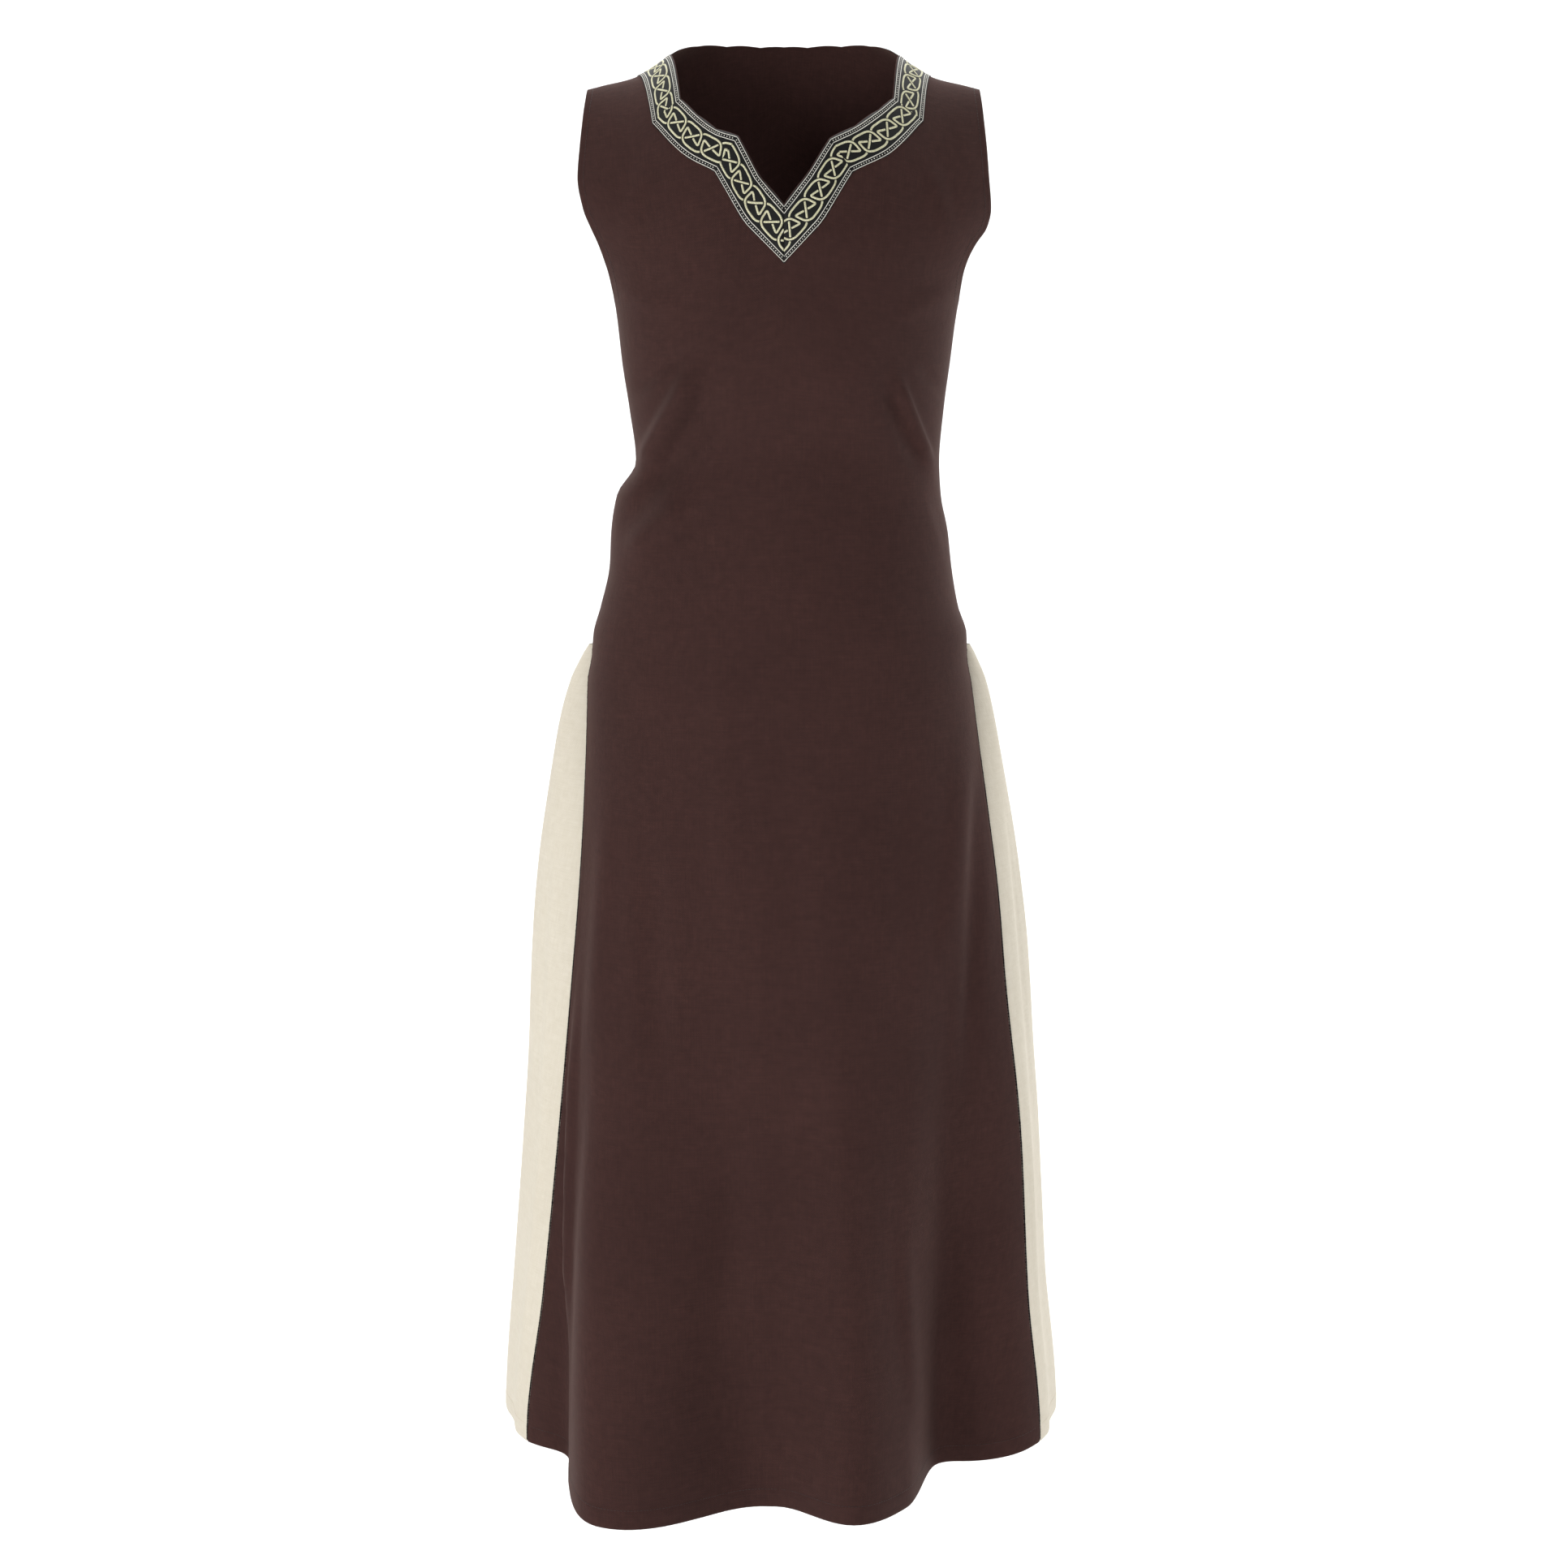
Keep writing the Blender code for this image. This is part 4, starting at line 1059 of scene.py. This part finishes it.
def make_ribbon(sizes):
    """The ribbon's ground, then its woven knot and rails as raised threads, and the places of its dots."""
    black = woven_ribbon("woven_ribbon_black", "#050505", "#151617")
    cream = thread_look("ribbon_knot_thread", "#BDB98F", "#F0EDCE", 0.62)
    white = thread_look("ribbon_border_thread", "#D2CFC2", "#FBF9F0", 0.62)
    lift = sizes.cloth_half + sizes.thickness / 2 + 0.1 * MM
    mesh_data = bmesh.new()
    for side, sign in (("front", -1), ("back", -1), ("back", 1), ("front", 1)):
        points, flat = [], []
        for edge, rim, arm, level in neck_stations(side, sign):
            line = [between(edge, rim, BARE + (1 - BARE) * i / 12) for i in range(13)]
            points.append([raised(side, x, laid, lift) for x, laid in line])
            flat.append([(x, laid) for x, laid in line])
        if side == "front":
            points[-1] = [Vector((sign * 0.1 * MM, p.y, p.z)) for p in points[-1]]
        add_grid(mesh_data, points, flat)
    bmesh.ops.remove_doubles(mesh_data, verts=mesh_data.verts, dist=0.00004)
    face_outward(mesh_data, Vector((0.0, 0.0, -0.25)))
    ground = new_piece("ribbon_ground", mesh_data, black)
    add_wall(ground, sizes.thickness)

    base = lift + sizes.thickness / 2
    knot, rails = bmesh.new(), bmesh.new()
    dots = []
    for leg in make_legs():
        work = bmesh.new()
        low = math.floor((leg.begins - 0.03 - leg.phase) / sizes.repeat) - 1
        high = math.ceil((leg.begins + leg.length + 0.03 - leg.phase) / sizes.repeat) + 3
        for cell in range(low, high + 1):
            route, heights = knot_strand(leg.phase + cell * sizes.repeat, sizes.repeat, sizes.strand)
            inside = [(p, h) for p, h in zip(route, heights)
                      if leg.begins - 0.045 < p.x < leg.begins + leg.length + 0.045]
            if len(inside) > 3:
                add_strip(work, [p for p, h in inside], sizes.strand, [h for p, h in inside], 0.35 * MM)
        fit_to_leg(work, leg, base)
        join_into(knot, work)
        work = bmesh.new()
        for out, wide in ((-17.2, 0.7), (-13.4, 0.8), (13.4, 0.8), (17.2, 0.7)):
            count = math.ceil((leg.length + 0.06) / (2.5 * MM))
            route = [Vector((leg.begins - 0.03 + i * 2.5 * MM, out * MM)) for i in range(count)]
            add_strip(work, route, wide * MM, [0.05 * MM] * len(route), 0.3 * MM)
        fit_to_leg(work, leg, base)
        join_into(rails, work)
        cuts = leg.cuts()
        for out in (-15.3, 15.3):
            count = math.ceil((leg.length + 0.06) / sizes.dot_pitch)
            for i in range(count):
                spot = leg.place(-0.03 + i * sizes.dot_pitch, out * MM)
                if all((spot - corner).dot(away) < -0.8 * MM for corner, away in cuts):
                    dots.append((leg.side, spot.x, spot.y))
    for mesh_data in (knot, rails):
        bmesh.ops.recalc_face_normals(mesh_data, faces=mesh_data.faces)
    knot = new_piece("ribbon_knot", knot, cream)
    rails = new_piece("ribbon_rails", rails, white)
    return ground, knot, rails, dots, base, white


# ---- stitches and dots by Geometry Nodes ----

def repeat_tree(name):
    """A tree that puts a small rounded stitch at each point of a mesh, turned by its two attributes."""
    tree = bpy.data.node_groups.new(name, "GeometryNodeTree")
    tree.interface.new_socket("Geometry", in_out="INPUT", socket_type="NodeSocketGeometry")
    for label, kind, value in (("Length", "NodeSocketFloat", 2.6 * MM), ("Width", "NodeSocketFloat", 0.6 * MM),
                               ("Height", "NodeSocketFloat", 0.4 * MM), ("Uneven", "NodeSocketFloat", 0.1),
                               ("Seed", "NodeSocketInt", 3)):
        socket = tree.interface.new_socket(label, in_out="INPUT", socket_type=kind)
        socket.default_value = value
    tree.interface.new_socket("Finish", in_out="INPUT", socket_type="NodeSocketMaterial")
    tree.interface.new_socket("Geometry", in_out="OUTPUT", socket_type="NodeSocketGeometry")
    given = add(tree, "NodeGroupInput")
    along = add(tree, "GeometryNodeInputNamedAttribute", [("Name", "along")], data_type="FLOAT_VECTOR")
    out = add(tree, "GeometryNodeInputNamedAttribute", [("Name", "out")], data_type="FLOAT_VECTOR")
    turn = add(tree, "FunctionNodeAlignRotationToVector", [("Vector", along.outputs["Attribute"])], axis="X")
    turn = add(tree, "FunctionNodeAlignRotationToVector",
               [("Rotation", turn.outputs[0]), ("Vector", out.outputs["Attribute"])], axis="Z", pivot_axis="X")
    ball = add(tree, "GeometryNodeMeshUVSphere", [("Segments", 8), ("Rings", 5), ("Radius", 0.5)])
    size = add(tree, "ShaderNodeCombineXYZ", [("X", given.outputs["Length"]), ("Y", given.outputs["Width"]),
                                              ("Z", given.outputs["Height"])])
    low = add(tree, "ShaderNodeMath", [(0, 1.0), (1, given.outputs["Uneven"])], operation="SUBTRACT")
    high = add(tree, "ShaderNodeMath", [(0, 1.0), (1, given.outputs["Uneven"])], operation="ADD")
    chance = add(tree, "FunctionNodeRandomValue", [("Min", low.outputs[0]), ("Max", high.outputs[0]),
                                                   ("Seed", given.outputs["Seed"])])
    # The random node has one pair of sockets for each data type; the float pair carries the range.
    scale = add(tree, "ShaderNodeVectorMath", [(0, size.outputs[0])], operation="SCALE")
    tree.links.new(chance.outputs[1], scale.inputs["Scale"])
    put = add(tree, "GeometryNodeInstanceOnPoints",
              [("Points", given.outputs["Geometry"]), ("Instance", ball.outputs["Mesh"]),
               ("Rotation", turn.outputs[0]), ("Scale", scale.outputs[0])])
    real = add(tree, "GeometryNodeRealizeInstances", [("Geometry", put.outputs["Instances"])])
    smooth = add(tree, "GeometryNodeSetShadeSmooth", [("Geometry", real.outputs[0])])
    dyed = add(tree, "GeometryNodeSetMaterial", [("Geometry", smooth.outputs[0]),
                                                 ("Material", given.outputs["Finish"])])
    add(tree, "NodeGroupOutput", [("Geometry", dyed.outputs[0])])
    return tree


def repeat_on(name, tree, marks, look, **sizes):
    """A piece of small like shapes. marks: place, direction along and direction out of each one."""
    mesh = bpy.data.meshes.new(name + "_marks")
    mesh.from_pydata([m[0] for m in marks], [], [])
    for label, k in (("along", 1), ("out", 2)):
        layer = mesh.attributes.new(label, "FLOAT_VECTOR", "POINT")
        layer.data.foreach_set("vector", [c for m in marks for c in m[k]])
    thing = bpy.data.objects.new(name, mesh)
    bpy.context.scene.collection.objects.link(thing)
    repeat = thing.modifiers.new("repeat", "NODES")
    repeat.node_group = tree
    sockets = {item.name: item.identifier for item in tree.interface.items_tree if item.in_out == "INPUT"}
    repeat[sockets["Finish"]] = look
    for label, value in sizes.items():
        repeat[sockets[label]] = value
    bpy.context.view_layer.update()
    made = bpy.data.meshes.new_from_object(thing.evaluated_get(bpy.context.evaluated_depsgraph_get()))
    thing.modifiers.clear()
    thing.data = made
    made.name = name
    return thing


def marks_along(line, pitch, height, drift=0.0):
    """Even marks along a run of (side, x, laid) or of (place, out) pairs."""
    spots = []
    for item in line:
        if len(item) == 3:
            low, high = raised(*item, 0.0), raised(*item, 1 * MM)
            spots.append((low, (high - low).normalized()))
        else:
            spots.append(item)
    marks, left = [], pitch / 2
    for (a, out_a), (b, out_b) in zip(spots, spots[1:]):
        span = (b - a).length
        while left < span:
            t = left / span
            out = out_a.lerp(out_b, t).normalized()
            marks.append((a.lerp(b, t) + out * height, (b - a).normalized(), out))
            left += pitch
        left -= span
    return marks


def armhole_line(sign, inset):
    """The topstitch round an armhole, from the side seam in front, over the shoulder, to the back."""
    line = []
    for side in ("front", "back"):
        part = []
        for i in range(70):
            drop = 0.356 * i / 69
            x, laid = outer_end(side, sign, drop)
            if laid <= UNDERARM + 0.0005:
                break
            ahead = outer_end(side, sign, drop + 0.002)
            way = Vector((ahead[0] - x, ahead[1] - laid)).normalized()
            inward = Vector((way.y, -way.x)) * (1 if way.y * -sign > 0 else -1)
            spot = Vector((x, laid)) + inward * inset
            part.append((side, spot.x, min(spot.y, laid_drop(spot.x, 0.0))))
        low = part[-1]
        part.append((side, sign * (half_width(side, sign, UNDERARM - inset) - 1 * MM), UNDERARM - inset))
        line += part[::-1] if side == "front" else part
    return line


# ---- settings ----

class GownClothSettings(bpy.types.PropertyGroup):
    """Sizes and colours of the cotton panels and gores."""
    wall: bpy.props.FloatProperty(name="Cloth thickness", description="Thickness of the cotton", default=0.9 * MM,
                                  min=0.0004, max=0.003, unit="LENGTH")
    thread: bpy.props.FloatProperty(name="Drawn thread", description="Width of one drawn thread of the weave",
                                    default=0.9 * MM, min=0.0004, max=0.004, unit="LENGTH")
    brown: bpy.props.StringProperty(name="Brown", description="sRGB hex colour of the front and back",
                                    default="#3B2522")
    cream: bpy.props.StringProperty(name="Cream", description="sRGB hex colour of the gores", default="#D9D1C0")


class GownRibbonSettings(bpy.types.PropertyGroup):
    """Sizes of the knotwork ribbon."""
    thickness: bpy.props.FloatProperty(name="Ribbon thickness", description="Thickness of the ribbon's ground",
                                       default=0.6 * MM, min=0.0002, max=0.002, unit="LENGTH")
    cloth_half: bpy.props.FloatProperty(name="Cloth below", description="Half the thickness of the cloth below",
                                        default=0.45 * MM, min=0.0002, max=0.002, unit="LENGTH")
    repeat: bpy.props.FloatProperty(name="Repeat", description="Length of one cell of the knot",
                                    default=23.3 * MM, min=0.01, max=0.06, unit="LENGTH")
    strand: bpy.props.FloatProperty(name="Strand", description="Width of the knot's strands",
                                    default=2.0 * MM, min=0.0005, max=0.005, unit="LENGTH")
    dot_pitch: bpy.props.FloatProperty(name="Dot spacing", description="Distance between the border's dots",
                                       default=2.7 * MM, min=0.002, max=0.01, unit="LENGTH")


class GownStitchSettings(bpy.types.PropertyGroup):
    """Sizes of the topstitching."""
    pitch: bpy.props.FloatProperty(name="Stitch spacing", description="Distance from stitch to stitch",
                                   default=3.2 * MM, min=0.001, max=0.01, unit="LENGTH")
    length: bpy.props.FloatProperty(name="Stitch length", description="Length of the thread that shows",
                                    default=2.5 * MM, min=0.001, max=0.01, unit="LENGTH")
    hem_inset: bpy.props.FloatProperty(name="Hem stitch height", description="Height of the stitches over the hem",
                                       default=18 * MM, min=0.005, max=0.05, unit="LENGTH")
    arm_inset: bpy.props.FloatProperty(name="Armhole stitch inset", description="Distance in from the armhole",
                                       default=6 * MM, min=0.002, max=0.02, unit="LENGTH")


class GownStageSettings(bpy.types.PropertyGroup):
    """Studio stage and light."""
    light: bpy.props.FloatProperty(name="Light", description="Strength of the studio lights", default=1.0,
                                   min=0.1, max=4.0)
    floor: bpy.props.FloatProperty(name="Floor height", description="Height of the stage floor", default=-1.62,
                                   min=-3.0, max=-1.4, unit="LENGTH")


# ---- operators ----

class GOWN_OT_panels(bpy.types.Operator):
    """Make the brown front and back of the gown"""
    bl_idname = "gown.make_panels"
    bl_label = "Front and Back"

    def execute(self, context):
        cloth = context.scene.gown_cloth
        brown = cotton("washed_brown_cotton", "#2E1B19", cloth.brown, "#492F2B", cloth.thread, 0.14, "#C9A79A", 0.24)
        front = seat(make_panel("front", brown, cloth.wall), "brown_cotton", "front_panel")
        back = seat(make_panel("back", brown, cloth.wall), "brown_cotton", "back_panel")
        return {"FINISHED"}


class GOWN_OT_gores(bpy.types.Operator):
    """Make the two cream gores let in at the sides"""
    bl_idname = "gown.make_gores"
    bl_label = "Side Gores"

    def execute(self, context):
        cloth = context.scene.gown_cloth
        cream = cotton("washed_cream_cotton", "#D0C7B4", cloth.cream, "#E3DCCD", cloth.thread, 0.10, "#FFFFFF", 0.20)
        for sign in (-1, 1):
            gore = seat(make_gore(sign, cream, cloth.wall), "cream_cotton", "gore_" + side_name(sign))
        return {"FINISHED"}


class GOWN_OT_ribbon(bpy.types.Operator):
    """Make the knotwork ribbon round the neck"""
    bl_idname = "gown.make_ribbon"
    bl_label = "Neck Ribbon"

    def execute(self, context):
        sizes = context.scene.gown_ribbon
        ground, knot, rails, dots, base, white = make_ribbon(sizes)
        tree = bpy.data.node_groups.get("repeat") or repeat_tree("repeat")
        marks = []
        for side, x, laid in dots:
            low, high = raised(side, x, laid, base), raised(side, x, laid, base + MM)
            out = (high - low).normalized()
            along = Vector((1, 0, 0)).cross(out).normalized()
            marks.append((low + out * 0.05 * MM, along, out))
        # Two light dots of thread show where the ribbon's ends were tacked at the V.
        for x in (-1.3 * MM, 1.3 * MM):
            low, high = raised("front", x, -0.1345, base), raised("front", x, -0.1345, base + MM)
            marks.append((low + (high - low) * 0.3, Vector((1, 0, 0)), (high - low).normalized()))
        dots = repeat_on("ribbon_dots", tree, marks, white, Length=1.15 * MM, Width=1.15 * MM, Height=0.7 * MM,
                         Uneven=0.08, Seed=5)
        seat(ground, "knot_ribbon", "neck_ribbon")
        for thing in (knot, rails, dots):
            seat(thing, "knot_ribbon")
        return {"FINISHED"}


class GOWN_OT_stitching(bpy.types.Operator):
    """Make the topstitching of the hem and armholes and the tacks at the ribbon's point"""
    bl_idname = "gown.make_stitching"
    bl_label = "Stitching"

    def execute(self, context):
        sizes = context.scene.gown_stitch
        half = context.scene.gown_cloth.wall / 2
        tree = bpy.data.node_groups.get("repeat") or repeat_tree("repeat")
        brown = thread_look("brown_sewing_thread", "#1E1211", "#352321", 0.7)
        # Near black, not the cloth's brown: painted shade for the folded edge over the gore seams.
        seam_shade_look = thread_look("gore_seam_painted_shadow", "#0E0706", "#1C1110", 0.9)
        cream = thread_look("cream_sewing_thread", "#B9AD95", "#D8CDB8", 0.7)
        black = thread_look("black_sewing_thread", "#0A0A0A", "#232323", 0.6)
        shape = dict(Length=sizes.length, Width=0.55 * MM, Height=0.35 * MM, Uneven=0.10)
        marks = []
        for sign in (-1, 1):
            marks += marks_along(armhole_line(sign, sizes.arm_inset), sizes.pitch, half + 0.15 * MM)
        for side in ("front", "back"):
            z = HEM + sizes.hem_inset
            left, right = half_width(side, -1, z), half_width(side, 1, z)
            line = [(side, mix(-left + 2 * MM, right - 2 * MM, i / 160), z) for i in range(161)]
            marks += marks_along(line, sizes.pitch, half + 0.15 * MM)
        seat(repeat_on("brown_topstitch", tree, marks, brown, Seed=3, **shape), "brown_cotton")
        marks = []
        for sign in (-1, 1):
            z = HEM + sizes.hem_inset
            line = []
            for i in range(61):
                share = mix(0.02, 0.98, i / 60)
                here = gore_point(sign, z, share)
                along = gore_point(sign, z, share + 0.01) - here
                down = gore_point(sign, z - MM, share) - here
                out = along.cross(down).normalized()
                line.append((here, out if out.x * sign > 0 else -out))
            marks += marks_along(line, sizes.pitch, half + 0.15 * MM)
        seat(repeat_on("cream_topstitch", tree, marks, cream, Seed=4, **shape), "cream_cotton")
        # Where a gore is let in, the brown cloth's folded edge stands over it as a thin raised line, coloured near
        # black as painted shade of the seam.
        marks = []
        for sign in (-1, 1):
            for share in (0.0, 1.0):
                line = []
                for i in range(121):
                    here = gore_point(sign, mix(GORE_TOP - 4 * MM, HEM + 2 * MM, i / 120), share)
                    line.append((here, Vector((sign, -1.0 if share == 0.0 else 1.0, 0)).normalized()))
                marks += marks_along(line, 3.0 * MM, 0.6 * MM)
        shape["Length"], shape["Width"], shape["Height"] = 5.0 * MM, 1.7 * MM, 1.4 * MM
        seat(repeat_on("gore_seam_edge_and_shadow", tree, marks, seam_shade_look, Seed=7, **shape), "brown_cotton")
        shape["Width"], shape["Height"] = 0.55 * MM, 0.35 * MM
        # The mitre at the V is drawn together by a row of small tacks, the lowest in two passes.
        marks = []
        top = half + context.scene.gown_ribbon.thickness + 0.35 * MM
        for x, laid, turn in ((0.0, -0.1585, 0), (0.0004, -0.1560, 20), (-0.0004, -0.1500, -8), (0.0, -0.1420, 6),
                              (0.0003, -0.1340, -5), (0.0, -0.1260, 8), (-0.0002, -0.1180, 0)):
            low, high = raised("front", x, laid, top), raised("front", x, laid, top + MM)
            tilt = math.radians(turn)
            marks.append((low, Vector((math.cos(tilt), 0, math.sin(tilt))), (high - low).normalized()))
        shape["Length"] = 3.0 * MM
        seat(repeat_on("ribbon_tacks", tree, marks, black, Seed=6, **shape), "knot_ribbon")
        return {"FINISHED"}


class GOWN_OT_stage(bpy.types.Operator):
    """Make the stage, the soft lights and the camera"""
    bl_idname = "gown.make_stage"
    bl_label = "Stage, Light and Camera"

    def execute(self, context):
        scene = context.scene
        sizes = scene.gown_stage
        mesh_data = bmesh.new()
        profile = [(-9.0, 0.0), (2.4, 0.0)]
        profile += [(2.4 + 1.2 * math.sin(a * math.pi / 24), 1.2 - 1.2 * math.cos(a * math.pi / 24))
                    for a in range(1, 13)]
        profile += [(3.6, 6.0)]
        rows = [[mesh_data.verts.new((x, y, sizes.floor + z)) for x in (-9.0, 9.0)] for y, z in profile]
        for a, b in zip(rows, rows[1:]):
            mesh_data.faces.new((a[0], a[1], b[1], b[0])).smooth = True
        look, tree, shader = new_look("stage_paper")
        # Seamless studio paper: matt and near white, with the faintest mottle.
        grain = add(tree, "ShaderNodeTexNoise", [("Scale", 3.0), ("Detail", 2.0)])
        ramp = add(tree, "ShaderNodeValToRGB", [("Fac", grain.outputs["Fac"])])
        ramp.color_ramp.elements[0].color = (*linear("#F3F3F3"), 1)
        ramp.color_ramp.elements[1].color = (*linear("#F8F8F8"), 1)
        tree.links.new(ramp.outputs["Color"], shader.inputs["Base Color"])
        shader.inputs["Roughness"].default_value = 0.95
        stage = new_piece("stage", mesh_data, look)

        world = bpy.data.worlds.new("studio")
        scene.world = world
        world.use_nodes = True
        world.node_tree.nodes["Background"].inputs["Color"].default_value = (1.0, 1.0, 1.0, 1)
        world.node_tree.nodes["Background"].inputs["Strength"].default_value = 0.18 * sizes.light
        # A soft box at the front left, weaker ones low in front and at the right, and a lit backdrop that
        # reads as white paper.
        for name, place, aim, wide, tall, watts in (
            ("left_front", (-2.3, -2.2, -0.4), (0, 0, -0.7), 1.2, 2.4, 46),
            ("right_back", (2.6, 0.5, -0.4), (0, 0, -0.7), 1.4, 2.4, 27),
            ("right_high", (2.3, -0.6, 1.2), (0, 0, -0.6), 1.2, 1.2, 5),
            ("front_low", (-0.5, -4.2, -1.0), (0, 0, -0.8), 2.4, 1.0, 43),
            ("back", (0.3, 3.0, 1.0), (0, 0, -0.6), 2.4, 1.6, 18),
            ("backdrop", (0.0, 1.4, 3.4), (0, 3.4, -0.8), 5.0, 2.0, 260),
        ):
            lamp = bpy.data.lights.new(name, "AREA")
            lamp.shape = "RECTANGLE"
            lamp.size = wide
            lamp.size_y = tall
            lamp.energy = watts * sizes.light
            thing = bpy.data.objects.new(name, lamp)
            thing.location = place
            thing.rotation_euler = (Vector(aim) - Vector(place)).to_track_quat("-Z", "Y").to_euler()
            scene.collection.objects.link(thing)
        scene.view_settings.view_transform = "Standard"

        view = bpy.data.cameras.new("camera")
        view.lens = 70.16
        view.sensor_width = 36.0
        view.clip_end = 50
        eye = bpy.data.objects.new("camera", view)
        eye.location = (0.0, -3.0, -0.2)
        eye.rotation_euler = (math.radians(90 - 8.93), 0.0, 0.0)
        scene.collection.objects.link(eye)
        scene.camera = eye
        return {"FINISHED"}


class GOWN_PT_panel(bpy.types.Panel):
    """Gown settings and steps"""
    bl_label = "Medieval Gown"
    bl_idname = "GOWN_PT_panel"
    bl_space_type = "VIEW_3D"
    bl_region_type = "UI"
    bl_category = "Gown"

    def draw(self, context):
        scene = context.scene
        for group, names, step in (
            (scene.gown_cloth, ("wall", "thread", "brown"), "gown.make_panels"),
            (scene.gown_cloth, ("cream",), "gown.make_gores"),
            (scene.gown_ribbon, ("thickness", "cloth_half", "repeat", "strand", "dot_pitch"), "gown.make_ribbon"),
            (scene.gown_stitch, ("pitch", "length", "hem_inset", "arm_inset"), "gown.make_stitching"),
            (scene.gown_stage, ("light", "floor"), "gown.make_stage"),
        ):
            box = self.layout.box()
            for name in names:
                box.prop(group, name)
            box.operator(step)


GROUPS = (
    ("gown_cloth", GownClothSettings),
    ("gown_ribbon", GownRibbonSettings),
    ("gown_stitch", GownStitchSettings),
    ("gown_stage", GownStageSettings),
)
STEPS = (GOWN_OT_panels, GOWN_OT_gores, GOWN_OT_ribbon, GOWN_OT_stitching, GOWN_OT_stage, GOWN_PT_panel)


def register():
    for name, group in GROUPS:
        bpy.utils.register_class(group)
        setattr(bpy.types.Scene, name, bpy.props.PointerProperty(type=group))
    for step in STEPS:
        bpy.utils.register_class(step)


def unregister():
    for step in reversed(STEPS):
        bpy.utils.unregister_class(step)
    for name, group in reversed(GROUPS):
        delattr(bpy.types.Scene, name)
        bpy.utils.unregister_class(group)


def main():
    register()
    bpy.ops.gown.make_panels()
    bpy.ops.gown.make_gores()
    bpy.ops.gown.make_ribbon()
    bpy.ops.gown.make_stitching()
    bpy.ops.gown.make_stage()


if __name__ == "__main__":
    main()
